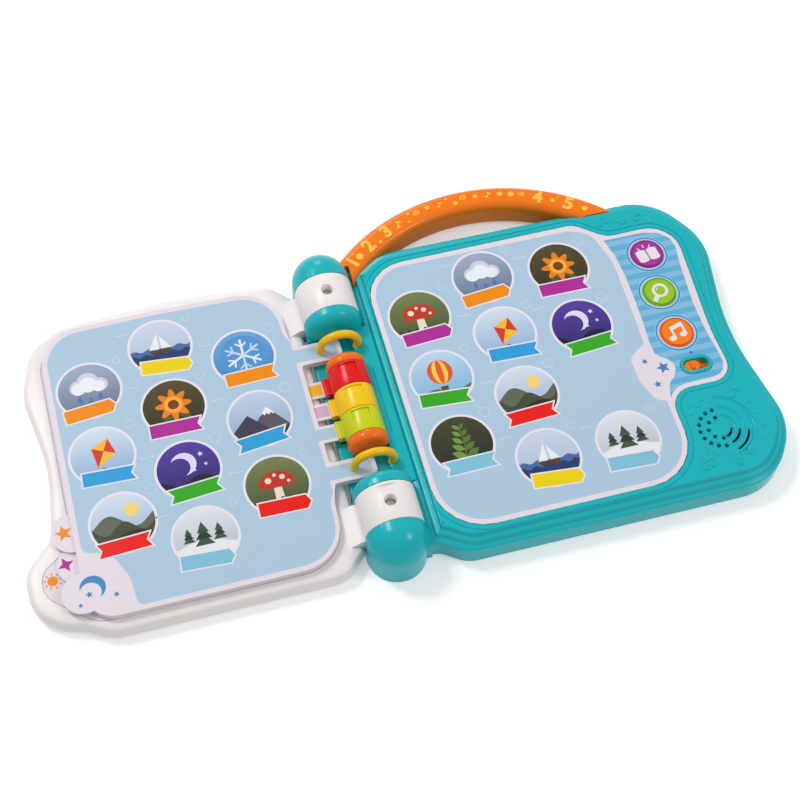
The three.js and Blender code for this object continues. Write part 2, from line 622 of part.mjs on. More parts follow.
// Cover: a white tray with two hinge knuckles, a closing plate and a printed sheet
const coverOutline = rounded([
  [COVER_RIGHT, 6 - PAGE_HALF, 0], [COVER_RIGHT, PAGE_HALF - 5, 0], [-31, PAGE_HALF + 8.4, 16],
  [-92, PAGE_HALF + 13.6, 260], [-160, PAGE_HALF + 8.6, 30], [-180, PAGE_HALF - 3, 22],
  [-189.4, PAGE_HALF - 34, 40], [-181.4, 8, 120], [-187, 58 - PAGE_HALF, 14],
  [-205, 39.5 - PAGE_HALF, 20], [-203.6, 14 - PAGE_HALF, 22], [-188, 2.6 - PAGE_HALF, 16],
  [-177, -PAGE_HALF, 8], [-163, -PAGE_HALF - 8.2, 22], [-31, -PAGE_HALF - 7.4, 18],
]);
const COVER_PROFILE = [[-3.2, 0], [-1.1, 0.9], [-0.2, 2.8], [0, 5.4], [-0.5, 8.2], [-1.9, 10.2], [-4, COVER]];

function knuckle() {
  // A white barrel with an arm down to the cover and a blind screw hole in its top.
  const arm = solid(new THREE.ExtrudeGeometry(new THREE.Shape([
    [-8, 5], [-14, 1.6], [-24, 0.9], [-25.6, 4], [-25.6, COVER - 0.1], [-19.4, 15], [-12, 15],
  ].map(([x, z]) => new THREE.Vector2(x, z))), { depth: KNUCKLE_OUT - KNUCKLE_IN, bevelEnabled: false })
    .rotateX(Math.PI / 2).translate(0, KNUCKLE_OUT, 0));
  return barrel(BARREL_R, KNUCKLE_IN, KNUCKLE_OUT, 40).add(arm);
}

const KNUCKLE_HOLE = 3.5;
const HOLE_DEPTH = 8;
const SCREW_HEAD = 2.9;

function coverShell() {
  const middle = (KNUCKLE_IN + KNUCKLE_OUT) / 2;
  const top = AXIS_Z + BARREL_R;
  let body = loft(coverOutline, COVER_PROFILE);
  const room = loft(coverOutline, [[-COVER_WALL - 1, -1], [-COVER_WALL - 1, 6.8], [-7, 8.4]])
    .intersect(block(-260, -28, -150, 150, -2, 20));
  body = body.subtract(room).add(knuckle()).add(mirrored(knuckle()));
  body = body.subtract(loft(grown(coverSheetOutline, GAP), [[0, COVER - COVER_RECESS], [0, COVER + 3]])
    .intersect(block(-260, -27, -150, 150, 0, 20)));
  const cuts = barrel(PIN_R + GAP, KNUCKLE_IN - 1, KNUCKLE_OUT + 1, 20)
    .add(disc(0, middle, KNUCKLE_HOLE, top - HOLE_DEPTH, top + 2, 20))
    .add(disc(0, middle, SCREW_R + GAP, AXIS_Z, top, 12));
  const step = block(-5.6, 5.2, -KNUCKLE_IN - 5.4, -KNUCKLE_IN - 1.8, top - 1.1, top + 2);
  return body.subtract(cuts).subtract(mirrored(cuts)).subtract(step);
}

const coverSheetOutline = rounded([
  [-30, -PAGE_HALF, 26], [-28.4, 34 - PAGE_HALF, 14], [-28.4, PAGE_HALF - 34, 14], [-30, PAGE_HALF, 26],
  [-102, PAGE_HALF + 2, 300], [PAGE_LEFT - 1.4, PAGE_HALF, 25], [PAGE_LEFT - 1.4, 50 - PAGE_HALF, 12],
  [-195.4, 36 - PAGE_HALF, 12], [-195.4, 22 - PAGE_HALF, 14], [-170, -PAGE_HALF, 20],
]);
add('cover_shell', coverShell(), WHITE);
const insideLow = COVER - COVER_RECESS + GAP;
add('cover_printed_sheet', loft(coverSheetOutline, [[0, insideLow], [0, COVER - 0.1]])
  .intersect(block(-260, -27.4, -150, 150, 0, 20)), WHITE);
add('cover_front_plate', loft(coverOutline, [[-COVER_WALL - 1 - GAP, 0], [-COVER_WALL - 1 - GAP, PLATE]])
  .intersect(block(-260, -28 - GAP, -150, 150, -1, 10)), WHITE);

// Screws at the bottom of the knuckles' blind holes
const seat = AXIS_Z + BARREL_R - HOLE_DEPTH;
const knuckleScrew = disc(0, (KNUCKLE_IN + KNUCKLE_OUT) / 2, SCREW_HEAD, seat + GAP, seat + 2.2, 16)
  .add(disc(0, (KNUCKLE_IN + KNUCKLE_OUT) / 2, SCREW_R, AXIS_Z + PIN_R + 2 * GAP, seat + 1, 12));
add('knuckle_screw_top', knuckleScrew, STEEL, 0.3, 0.9);
add('knuckle_screw_bottom', mirrored(knuckleScrew), STEEL, 0.3, 0.9);

export default book;
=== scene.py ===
import bpy
import numpy as np
from mathutils import Matrix


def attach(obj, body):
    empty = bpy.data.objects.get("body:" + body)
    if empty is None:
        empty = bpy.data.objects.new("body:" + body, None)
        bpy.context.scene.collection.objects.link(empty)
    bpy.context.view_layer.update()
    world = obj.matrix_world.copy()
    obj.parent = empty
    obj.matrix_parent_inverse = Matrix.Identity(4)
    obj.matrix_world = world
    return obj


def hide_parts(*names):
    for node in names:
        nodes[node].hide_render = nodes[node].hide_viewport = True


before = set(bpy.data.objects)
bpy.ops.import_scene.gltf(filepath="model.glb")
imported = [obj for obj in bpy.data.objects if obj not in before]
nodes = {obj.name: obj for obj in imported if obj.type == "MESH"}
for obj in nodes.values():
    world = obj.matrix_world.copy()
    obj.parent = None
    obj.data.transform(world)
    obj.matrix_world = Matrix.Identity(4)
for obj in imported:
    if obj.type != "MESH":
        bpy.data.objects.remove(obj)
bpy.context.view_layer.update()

# Camera: it stands above and in front of the open book, a little to the left,
# and looks down at about 59 degrees, turned to the right and rolled by four degrees.
LENS = 69.45
CAMERA_PLACE = (-0.1237, -0.443, 0.800)
CAMERA_RIGHT = (0.963676, -0.264828, 0.034572)
CAMERA_UP = (0.210852, 0.833857, 0.510121)
CAMERA_BACK = (-0.163923, -0.484302, 0.859407)


def placed(right, up, back, place):
    """The matrix whose columns are three axes and a place."""
    return Matrix(np.vstack([np.c_[right, up, back, place], [0, 0, 0, 1]]).tolist())


camera_data = bpy.data.cameras.new("book_camera")
camera_data.lens = LENS
camera_data.sensor_width = 36
camera = bpy.data.objects.new("book_camera", camera_data)
bpy.context.scene.collection.objects.link(camera)
camera.matrix_world = placed(CAMERA_RIGHT, CAMERA_UP, CAMERA_BACK, CAMERA_PLACE)
bpy.context.scene.camera = camera
bpy.context.scene.view_settings.view_transform = "Standard"

# Studio: a white table that runs out of sight, a soft sky and three soft boxes.
# The table is white for the camera and in reflections, and keeps the book's shadow.
MM = 0.001
TABLE_HALF = 6
TABLE_DROP = -0.0002
SKY_STRENGTH = 0.62
TABLE_GLOW = 0.3
SOFT_BOX_SIZE = 0.4
SOFT_BOXES = [
    ("soft_box_left", (-0.7, 0.75, 1.4), (0.05, 0, 0), 10.5),
    ("soft_box_right", (1.1, -0.6, 1.3), (0.05, 0, 0), 5.5),
    ("soft_box_behind", (0.1, 1.5, 0.9), (0, 0, 0), 3.5),
]


def smoothed(mesh, degrees):
    """Smooth shading on every face; edges sharper than the angle stay sharp."""
    mesh.polygons.foreach_set("use_smooth", np.ones(len(mesh.polygons), bool))
    mesh.set_sharp_from_angle(angle=np.radians(degrees))


def link_mesh(name, points, faces, smooth=35.0):
    """A mesh object at the origin from points in millimetres."""
    mesh = bpy.data.meshes.new(name)
    mesh.from_pydata((np.asarray(points, float) * MM).tolist(), [], faces)
    mesh.validate()
    smoothed(mesh, smooth)
    thing = bpy.data.objects.new(name, mesh)
    bpy.context.scene.collection.objects.link(thing)
    return thing


def add_node(tree, kind, values=None, operation=None):
    """A shader node, with the values of some of its inputs."""
    node = tree.nodes.new("ShaderNode" + kind)
    if operation:
        node.operation = operation
    for socket, value in (values or {}).items():
        node.inputs[socket].default_value = value
    return node


def wire(tree, *pairs):
    """Links each output socket to the input socket beside it."""
    for source, target in pairs:
        tree.links.new(source, target)


def new_material(name, values):
    """A material with a Principled shader, some of its values, and an output."""
    material = bpy.data.materials.new(name)
    material.use_nodes = True
    tree = material.node_tree
    tree.nodes.clear()
    shader = add_node(tree, "BsdfPrincipled", values)
    output = add_node(tree, "OutputMaterial")
    wire(tree, (shader.outputs["BSDF"], output.inputs["Surface"]))
    return material, tree, shader, output


def seen_rays(tree):
    """A socket that is one for rays from the camera, a gloss or a clear piece, and nought for others."""
    rays = add_node(tree, "LightPath")
    seen = rays.outputs["Is Camera Ray"]
    for kind in ("Is Glossy Ray", "Is Transmission Ray"):
        larger = add_node(tree, "Math", operation="MAXIMUM")
        wire(tree, (seen, larger.inputs[0]), (rays.outputs[kind], larger.inputs[1]))
        seen = larger.outputs[0]
    return seen


def dress(thing, material):
    """Gives a piece or a CAD node its one material."""
    thing.data.materials.clear()
    thing.data.materials.append(material)


table_material, tree, shader, output = new_material(
    "white_table", {"Base Color": (0.86, 0.86, 0.86, 1), "Roughness": 0.8, "Specular IOR Level": 0.1})
glow = add_node(tree, "Emission")
glow_strength = add_node(tree, "Math", {1: TABLE_GLOW}, "MULTIPLY")
both = add_node(tree, "AddShader")
wire(tree, (seen_rays(tree), glow_strength.inputs[0]), (glow_strength.outputs[0], glow.inputs["Strength"]),
     (shader.outputs["BSDF"], both.inputs[0]), (glow.outputs["Emission"], both.inputs[1]),
     (both.outputs["Shader"], output.inputs["Surface"]))

corners = np.array([(-1, -1), (1, -1), (1, 1), (-1, 1)]) * TABLE_HALF / MM
table = link_mesh("white_table", np.c_[corners, np.full(4, TABLE_DROP / MM)], [(0, 1, 2, 3)])
dress(table, table_material)

world = bpy.data.worlds.new("studio_sky")
bpy.context.scene.world = world
world.use_nodes = True
tree = world.node_tree
tree.nodes.clear()
sky = add_node(tree, "Background", {"Strength": SKY_STRENGTH})
plain_white = add_node(tree, "Background", {"Strength": 1})
sky_mix = add_node(tree, "MixShader")
sky_output = add_node(tree, "OutputWorld")
wire(tree, (seen_rays(tree), sky_mix.inputs["Fac"]), (sky.outputs["Background"], sky_mix.inputs[1]),
     (plain_white.outputs["Background"], sky_mix.inputs[2]),
     (sky_mix.outputs["Shader"], sky_output.inputs["Surface"]))

for name, place, aim, watts in SOFT_BOXES:
    lamp = bpy.data.lights.new(name, "AREA")
    lamp.size = SOFT_BOX_SIZE
    lamp.energy = watts
    soft_box = bpy.data.objects.new(name, lamp)
    bpy.context.scene.collection.objects.link(soft_box)
    away = np.subtract(place, aim)
    away = away / np.linalg.norm(away)
    side = np.cross((0, 1, 0), away)
    side = side / np.linalg.norm(side)
    soft_box.matrix_world = placed(side, np.cross(away, side), away, place)

# Sound box: one injection moulded teal housing with a stepped rim, and the spine's barrels in one
# with it. It has a saddle for the page roller, a recess for the printed sheet and the sound holes.
AXIS = 18.5
BARREL = 17.5
CLEAR = 0.3
BASE_TOP = 20.9
BASE_HALF = 105.5
BASE_LEFT = 18.2
ROOM_TOP = 17.2
WALL = 2.4
SPINE_FACE = 107.5
SPINE_EDGE = -17
SPINE_FLOOR = 10.6
SPINE_SHELF = 16
KNUCKLE = (61, 85)
COLLAR_FACE = 50.5
COLLAR_DOME = 7.4
RECESS = 1.7
TEAL = (4, 181, 190)
BASE_CORNERS = [
    (BASE_LEFT, -95.5, 0), (24, -96, 12), (38, -BASE_HALF, 20), (225, -BASE_HALF, 36), (247, -72, 40),
    (234.2, -2, 150), (246, 68, 42), (222, BASE_HALF, 36), (38, BASE_HALF, 20), (24, 96, 12),
    (BASE_LEFT, 95.5, 0),
]
RIM = [
    (-0.5, 0, 0), (0, 0.5, 0.3), (0, 14.6, 1.6), (-3.3, 15.4, 0.5), (-4.1, 17.9, 0.7), (-6.9, 18.4, 0.5),
    (-7.7, 20.9, 0.7), (-9.5, BASE_TOP, 0),
]
SHEET_CORNERS = [
    (26.4, -94.6, 30), (181, -94.4, 30), (181, -37.2, 14), (223.6, -37.2, 12), (221.6, -2, 120),
    (227, 80.6, 19), (183, 79.6, 14), (165, 93.6, 12), (26.4, 92, 26),
]
RING_R = 11.7
RING_TUBE = 2.5
RING_Y = {"top": 43.2, "bottom": -38.8}
RING_ARC = (-32, 232)
ROLLER_MID = 1
ROLLER_R = 12
RING_LENGTH = 15.7
CAP_LENGTH = 6.4
LEVER_REACH = 15.8
LEVER_WIDTH = 11.4
LEVER_SHIFT = 2.2
BUTTONS = {"pages": (203.2, 60.6), "search": (200.7, 31.5), "music": (200.7, 0.9)}
BUTTON_R = 10.4
SWITCH = (204.2, -23.3)
SWITCH_LENGTH = 20
SWITCH_WIDTH = 12
SWITCH_RIM = 2.2
SPEAKER = (202, -68)
PIN_BORE = 2.8
PIN_ENDS = (51.7, 100.3)
SOFT_EDGE = 0.5
TURN_GAP = 0.6
FLANK_END = 97
ROOM_LEFT = 23.4
ROOM = [(-WALL, -1), (-WALL, 11.6), (-6.3, 13.4), (-9.8, ROOM_TOP)]
LEVER_ARC = (121, 233)
HOLE_R = 1.25
HOLE_ARC = (92, 268)
HOLE_ROWS = [(12.2, 9), (7, 5)]
SLOT_WIDTH = 1.4
SLOT_ARC = (-70, -19)
SLOT_RADII = (6.7, 11.6, 17)
GROOVE_WIDTH = 2.2
GROOVES = [(8.5, -66, 62), (13.6, -70, 72), (20.4, -74, 79)]
GROOVE_LEVELS = [(-0.9, -0.8), (-0.5, -0.7), (-0.1, -0.3), (0.1, 0), (0.3, 0.3)]


def unit(vectors):
    """Each row over its own length."""
    return vectors / np.maximum(np.linalg.norm(vectors, axis=1, keepdims=True), 1e-12)


def polar(radius, angle):
    """Points at a radius and an angle in radians, anticlockwise from the X axis."""
    return np.c_[radius * np.cos(angle), radius * np.sin(angle)]


def fillet(corners, step=3.0, closed=True):
    """Points along straight sides joined by arcs: at a corner (x, y, radius) the arc starts
    radius * tan(half the turn) before the corner, and its points stand radius from its middle."""
    spots = np.array([c[:2] for c in corners], float)
    points = []
    for i, (x, y, radius) in enumerate(corners):
        at_end = not closed and i in (0, len(corners) - 1)
        if not radius or at_end:
            points.append([[x, y]])
            continue
        into = unit(spots[i : i + 1] - spots[i - 1])[0]
        out = unit(spots[(i + 1) % len(corners)][None] - spots[i])[0]
        turn = np.arctan2(into[0] * out[1] - into[1] * out[0], into @ out)
        start = spots[i] - into * radius * np.tan(abs(turn) / 2)
        middle = start + np.array([-into[1], into[0]]) * np.sign(turn) * radius
        first = np.arctan2(*(start - middle)[::-1])
        count = max(2, int(np.ceil(np.degrees(abs(turn)) / step)))
        angle = first + turn * np.linspace(0, 1, count + 1)
        points.append(middle + polar(radius, angle))
    return np.concatenate(points)


def grown(outline, distance):
    """The outline moved outwards: each point goes along its normal by the distance over the cosine of half
    its turn."""
    into = unit(outline - np.roll(outline, 1, 0))
    out = unit(np.roll(outline, -1, 0) - outline)
    normal = unit(np.c_[into[:, 1] + out[:, 1], -into[:, 0] - out[:, 0]])
    lean = np.maximum(0.4, normal[:, 0] * into[:, 1] - normal[:, 1] * into[:, 0])
    return outline + normal * (distance / lean)[:, None]


def tube_faces(levels, count, first=0, caps=True):
    """Quads between levels of count points each, and one many-sided face at either end."""
    level, i = np.meshgrid(np.arange(levels - 1), np.arange(count), indexing="ij")
    a = first + level * count + i
    b = first + level * count + (i + 1) % count
    faces = np.stack([a, b, b + count, a + count], -1).reshape(-1, 4).tolist()
    if caps:
        last = first + (levels - 1) * count
        faces += [list(range(first + count - 1, first - 1, -1)), list(range(last, last + count))]
    return faces


def layered(outline, levels):
    """The points and faces of a closed body: level (growth, z) holds the outline grown by growth at the
    height z, from the bottom up."""
    rings = [np.c_[grown(outline, growth), np.full(len(outline), z)] for growth, z in levels]
    return np.concatenate(rings), tube_faces(len(levels), len(outline))


def stacked(name, outline, levels, smooth=35.0, left=None):
    """A layered body as one mesh. Where left is given, a shrunken level stays right of x = left - growth."""
    points, faces = layered(outline, levels)
    if left is not None:
        shrunken = np.repeat([min(growth, 0) for growth, _ in levels], len(outline))
        points[:, 0] = np.maximum(points[:, 0], left - shrunken)
    return link_mesh(name, points, faces, smooth)


def turned(name, profile, steps=72, smooth=35.0):
    """A body turned about the hinge line: the profile (radius, y) runs from the low y to the high y, and
    both its ends lie on the line."""
    radius, y = np.array(profile, float).T
    angle = -np.linspace(0, 2 * np.pi, steps, endpoint=False)
    out, along = radius[1:-1, None], y[1:-1, None]
    rings = np.stack([out * np.cos(angle), np.repeat(along, steps, 1), AXIS + out * np.sin(angle)], -1)
    points = np.concatenate([rings.reshape(-1, 3), [[0, y[0], AXIS], [0, y[-1], AXIS]]])
    levels = len(profile) - 2
    faces = tube_faces(levels, steps, caps=False)
    i = np.arange(steps)
    last = (levels - 1) * steps
    faces += np.c_[np.full(steps, levels * steps), (i + 1) % steps, i].tolist()
    faces += np.c_[np.full(steps, levels * steps + 1), last + i, last + (i + 1) % steps].tolist()
    return link_mesh(name, points, faces, smooth)


def prism_y(name, section, y0, y1):
    """A body of one section (x, z), anticlockwise seen from the front, carried along Y from y0 to y1."""
    section = np.array(section, float)
    ends = [np.c_[section[:, 0], np.full(len(section), y), section[:, 1]] for y in (y1, y0)]
    return link_mesh(name, np.concatenate(ends), tube_faces(2, len(section)))


def slab(name, x0, x1, y0, y1, z0, z1):
    """A block between two corners."""
    return prism_y(name, [(x0, z0), (x1, z0), (x1, z1), (x0, z1)], y0, y1)


def circle(x, y, radius, count=48):
    """Points round a circle, anticlockwise."""
    angle = np.linspace(0, 2 * np.pi, count, endpoint=False)
    return polar(radius, angle) + [x, y]


def post(name, x, y, radius, z0, z1, count=48):
    """An upright round post."""
    return stacked(name, circle(x, y, radius, count), [(0, z0), (0, z1)])


def barrel(name, radius, y0, y1, steps=72):
    """A round bar on the hinge line."""
    return turned(name, [(0, y0), (radius, y0), (radius, y1), (0, y1)], steps)


def soft_bar(name, radius, low, high, ease):
    """A round bar on the hinge line with rounded edges: the middle of the rounding stands in by ease, from
    the radius and from the end."""
    end = [(0, 0), (radius - SOFT_EDGE, 0), (radius - ease[0], ease[1]), (radius, SOFT_EDGE)]
    return turned(name, [(r, low + y) for r, y in end] + [(r, high - y) for r, y in end[::-1]], 96)


def span(side, near, far):
    """From near to far along the spine, on one side of its middle, the low end first."""
    return sorted((side * near, side * far))


def facing(profile, side):
    """A profile (.., y) for one end of the spine: on the low side it is mirrored and runs the other way."""
    return profile if side > 0 else profile[::-1] * [1, -1]


def bent_rod(name, radius, low, high, y, steps=64, sides=20):
    """A round rod bent about the hinge line: its middle runs at RING_R from the angle low to the angle
    high, and its section is a circle of the given radius across it. The ends shrink to a round nose."""
    path = np.radians(np.linspace(low, high, steps))
    nose = np.degrees(radius * 0.6 / RING_R)
    bulge = np.clip((np.linspace(low, high, steps) - low) / nose, 0, 1)
    bulge = np.minimum(bulge, bulge[::-1])
    size = radius * np.sqrt(np.clip(1 - (1 - bulge) ** 2, 0.15, 1))
    round_angle = np.linspace(0, 2 * np.pi, sides, endpoint=False)
    out = RING_R + size[:, None] * np.cos(round_angle)
    points = np.stack(
        [out * np.cos(path)[:, None], y + size[:, None] * np.sin(round_angle),
         AXIS + out * np.sin(path)[:, None]], -1).reshape(-1, 3)
    return link_mesh(name, points, tube_faces(steps, sides), 60)


def carve(body, tools, how="DIFFERENCE", smooth=35.0):
    """Cuts the tools out of the body, or joins them to it, one after another, and then deletes them."""
    for tool in tools:
        step = body.modifiers.new("cut", "BOOLEAN")
        step.operation = how
        step.solver = "EXACT"
        step.object = tool
        graph = bpy.context.evaluated_depsgraph_get()
        made = bpy.data.meshes.new_from_object(body.evaluated_get(graph))
        body.modifiers.clear()
        old = body.data
        body.data = made
        bpy.data.meshes.remove(old)
        bpy.data.objects.remove(tool)
    smoothed(body.data, smooth)
    return body


def stadium(x, y, length, width, count=24):
    """The outline of a slot with round ends."""
    angle = np.linspace(-np.pi / 2, np.pi / 2, count)
    half = (length - width) / 2
    cap = polar(width / 2, angle)
    return np.concatenate([cap + [x + half, y], [x - half, y] - cap])


def lever_range(index):
    """Where along the spine the lever of page ring 0, 1 or 2 sits."""
    middle = ROLLER_MID + (1 - index) * (RING_LENGTH + CLEAR) + LEVER_SHIFT
    return middle - LEVER_WIDTH / 2, middle + LEVER_WIDTH / 2


def spine_end(side):
    """The rounded end of the spine: a barrel whose radius falls as sqrt(BARREL^2 - d^2) at the distance d
    past the middle of its end, on a foot that stands under it."""
    start = KNUCKLE[1] + CLEAR
    centre = SPINE_FACE - BARREL
    rise = np.radians(np.linspace(0, 90, 25))
    dome = polar(BARREL, rise) + [0, centre]
    dome[-1, 0] = 0
    profile = np.r_[[(0, start), (BARREL, start)], dome]
    side_arc = polar(BARREL, np.linspace(0, np.pi, 49)) + [0, centre]
    foot = np.r_[[(BARREL, start)], side_arc, [(-BARREL, start)]]
    return [turned("spine_end", facing(profile, side), smooth=50),
            stacked("spine_foot", facing(foot, side), [(0, 0), (0, AXIS)])]


def collar_profile():
    """The barrel beside a knuckle: its end rises to the full radius as a superellipse of power 2.6."""
    radius = BARREL * np.sin(np.radians(np.linspace(0, 90, 16)))
    drop = COLLAR_DOME * (1 - (1 - (radius / BARREL) ** 2.6).clip(0) ** (1 / 2.6))
    end = KNUCKLE[0] - CLEAR
    return np.c_[np.r_[radius, BARREL, 0], np.r_[COLLAR_FACE + drop, end, end]]


base_outline = fillet(BASE_CORNERS)
sheet_outline = fillet(SHEET_CORNERS)
box_body = stacked("sound_box", base_outline, fillet(RIM, 15, closed=False), left=BASE_LEFT)
spine_bed = prism_y("spine_bed", fillet([
    (SPINE_EDGE, 0, 0.5), (BASE_LEFT + 3, 0, 0), (BASE_LEFT + 3, SPINE_SHELF, 0), (9, SPINE_SHELF, 1),
    (7.8, SPINE_FLOOR, 0.5), (SPINE_EDGE, SPINE_FLOOR, 1)], 20), -COLLAR_FACE - 4, COLLAR_FACE + 4)
spine_parts = [spine_bed]
for side in (-1, 1):
    spine_parts += spine_end(side)
    spine_parts.append(turned("collar", facing(collar_profile(), side), smooth=50))
    low, high = span(side, COLLAR_FACE + 2, KNUCKLE[0] - CLEAR)
    spine_parts.append(slab("collar_foot", SPINE_EDGE, BARREL, low, high, 0, AXIS - 4))
    low, high = span(side, KNUCKLE[1] + CLEAR, FLANK_END)
    spine_parts.append(slab("flank", 10, BASE_LEFT + 1, low, high, 0, SPINE_SHELF))
room_outline = base_outline.copy()
room_outline[:, 0] = np.maximum(room_outline[:, 0], ROOM_LEFT)
carve(box_body, [stacked("room", room_outline, ROOM)])
carve(box_body, spine_parts, "UNION")

cuts = []
for side in (-1, 1):
    low, high = span(side, KNUCKLE[0] - CLEAR, KNUCKLE[1] + CLEAR)
    cuts.append(barrel("knuckle_room", BARREL + TURN_GAP, low, high))
    cuts.append(barrel("pin_room", PIN_BORE, *span(side, *PIN_ENDS), 32))
half = 1.5 * RING_LENGTH + 3 * CLEAR + CAP_LENGTH
cuts.append(barrel("roller_room", ROLLER_R + CLEAR, ROLLER_MID - half, ROLLER_MID + half))
for index in range(3):
    low, high = lever_range(index)
    arc = polar(LEVER_REACH + TURN_GAP, np.radians(np.linspace(*LEVER_ARC, 30))) + [0, AXIS]
    cuts.append(prism_y("lever_room", np.concatenate([arc, [[-8, AXIS - 8], [-8, AXIS + 10]]]),
                        low - 0.5, high + 0.5))
for y in RING_Y.values():
    cuts.append(bent_rod("ring_room", RING_TUBE + CLEAR, RING_ARC[0] - 4, RING_ARC[1] + 4, y))
cuts.append(stacked("sheet_room", grown(sheet_outline, CLEAR), [(0, BASE_TOP - RECESS), (0, BASE_TOP + 5)]))
for x, y in BUTTONS.values():
    cuts.append(post("button_room", x, y, BUTTON_R + CLEAR, ROOM_TOP - 1, BASE_TOP + 1))
carve(box_body, cuts)

rim = stacked("switch_rim", stadium(*SWITCH, SWITCH_LENGTH, SWITCH_WIDTH),
              [(0, BASE_TOP - RECESS - 0.5), (0, BASE_TOP + 0.2), (-0.3, BASE_TOP + 0.5)])
mouth_size = (SWITCH_LENGTH - 2 * SWITCH_RIM, SWITCH_WIDTH - 2 * SWITCH_RIM)
mouth = stacked("switch_mouth", stadium(*SWITCH, *mouth_size),
                [(0, ROOM_TOP - 1), (0, BASE_TOP + 0.2), (0.4, BASE_TOP + 0.6)])
carve(box_body, [rim], "UNION")
carve(box_body, [mouth])


def joined(name, groups, smooth=35.0):
    """One mesh from several (points, faces) pairs."""
    points, faces, first = [], [], 0
    for spots, sides in groups:
        points.append(spots)
        faces += [[first + k for k in face] for face in sides]
        first += len(spots)
    return link_mesh(name, np.concatenate(points), faces, smooth)


def arc_band(x, y, radius, width, low, high, count=40):
    """The outline of a band of a circle with round ends: its middle runs at radius from the angle low to
    the angle high, and it is width across."""
    angle = np.radians(np.linspace(low, high, count))
    nose = np.radians(np.linspace(0, 180, 9)[1:-1])
    outer = polar(radius + width / 2, angle)
    inner = polar(radius - width / 2, angle[::-1])
    ends = [polar(radius, np.array([at])) + polar(width / 2, at + turn + nose)
            for at, turn in ((angle[-1], 0), (angle[0], np.pi))]
    return np.concatenate([outer, ends[0], inner, ends[1]]) + [x, y]


hole_groups = []
hole_levels = [(0, ROOM_TOP - 1), (0, BASE_TOP - 0.3), (0.35, BASE_TOP + 0.1)]
for radius, count in HOLE_ROWS:
    for spot in polar(radius, np.radians(np.linspace(*HOLE_ARC, count))) + SPEAKER:
        hole_groups.append(layered(circle(*spot, HOLE_R, 20), hole_levels))
for radius in SLOT_RADII:
    outline = arc_band(*SPEAKER, radius, SLOT_WIDTH, *SLOT_ARC)
    hole_groups.append(layered(outline, [(0, ROOM_TOP - 1), (0, BASE_TOP + 1)]))
carve(box_body, [joined("sound_holes", hole_groups)])

groove_levels = [(growth, BASE_TOP + z) for growth, z in GROOVE_LEVELS]
groove_groups = [layered(arc_band(*SPEAKER, radius, GROOVE_WIDTH, low, high, 60), groove_levels)
                 for radius, low, high in GROOVES]
carve(box_body, [joined("sound_grooves", groove_groups)])


def hoop_body(name, outline, near, far, low, high):
    """A closed loop of even width round an outline: its four long edges lie near or far outside the
    outline, low or high."""
    points, faces = layered(outline, [(far, low), (far, high), (near, high), (near, low)])
    count = len(outline)
    i = np.arange(count)
    last = np.stack([3 * count + i, 3 * count + (i + 1) % count, (i + 1) % count, i], 1)
    return link_mesh(name, points, faces[:-2] + last.tolist())


carve(box_body, [hoop_body("sheet_groove", sheet_outline, 3.1, 3.7, BASE_TOP - 0.35, BASE_TOP + 1)])
carve(box_body, [slab("roller_line", 15.4, 16.2, -20.8, 24.6, SPINE_SHELF - 0.7, SPINE_SHELF + 1)])
# Nothing of the box reaches under the table.
for vertex in box_body.data.vertices:
    vertex.co.z = max(vertex.co.z, 0)
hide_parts("base_top_shell")
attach(box_body, "base")


def tint(red, green, blue):
    """A linear colour from screen values of 0 to 255."""
    screen = np.array([red, green, blue]) / 255
    return tuple(np.where(screen <= 0.04045, screen / 12.92, ((screen + 0.055) / 1.055) ** 2.4)) + (1.0,)


moulding = bpy.data.node_groups.new("moulded_surface", "ShaderNodeTree")
for name, kind, start in (("Colour", "NodeSocketColor", None), ("Roughness", "NodeSocketFloat", 0.3),
                          ("Flow", "NodeSocketFloat", 0.03), ("Grain", "NodeSocketFloat", 900.0)):
    socket = moulding.interface.new_socket(name=name, in_out="INPUT", socket_type=kind)
    if start is not None:
        socket.default_value = start
for name, kind in (("Colour", "NodeSocketColor"), ("Roughness", "NodeSocketFloat"),
                   ("Height", "NodeSocketFloat")):
    moulding.interface.new_socket(name=name, in_out="OUTPUT", socket_type=kind)
into = moulding.nodes.new("NodeGroupInput").outputs
out = moulding.nodes.new("NodeGroupOutput").inputs
place = add_node(moulding, "TexCoord").outputs["Object"]
flow = add_node(moulding, "TexNoise", {"Scale": 22, "Detail": 3})
grain = add_node(moulding, "TexNoise", {"Detail": 2})
shift = add_node(moulding, "Math", {1: 0.5}, "SUBTRACT")
amount = add_node(moulding, "Math", operation="MULTIPLY")
bright = add_node(moulding, "Math", {1: 1}, "ADD")
gloss = add_node(moulding, "Math", operation="ADD")
shade = add_node(moulding, "HueSaturation")
wire(moulding, (place, flow.inputs["Vector"]), (place, grain.inputs["Vector"]),
     (into["Grain"], grain.inputs["Scale"]), (flow.outputs["Fac"], shift.inputs[0]),
     (shift.outputs[0], amount.inputs[0]), (into["Flow"], amount.inputs[1]),
     (amount.outputs[0], bright.inputs[0]), (bright.outputs[0], shade.inputs["Value"]),
     (into["Colour"], shade.inputs["Color"]), (into["Roughness"], gloss.inputs[0]),
     (amount.outputs[0], gloss.inputs[1]), (shade.outputs["Color"], out["Colour"]),
     (gloss.outputs[0], out["Roughness"]), (grain.outputs["Fac"], out["Height"]))


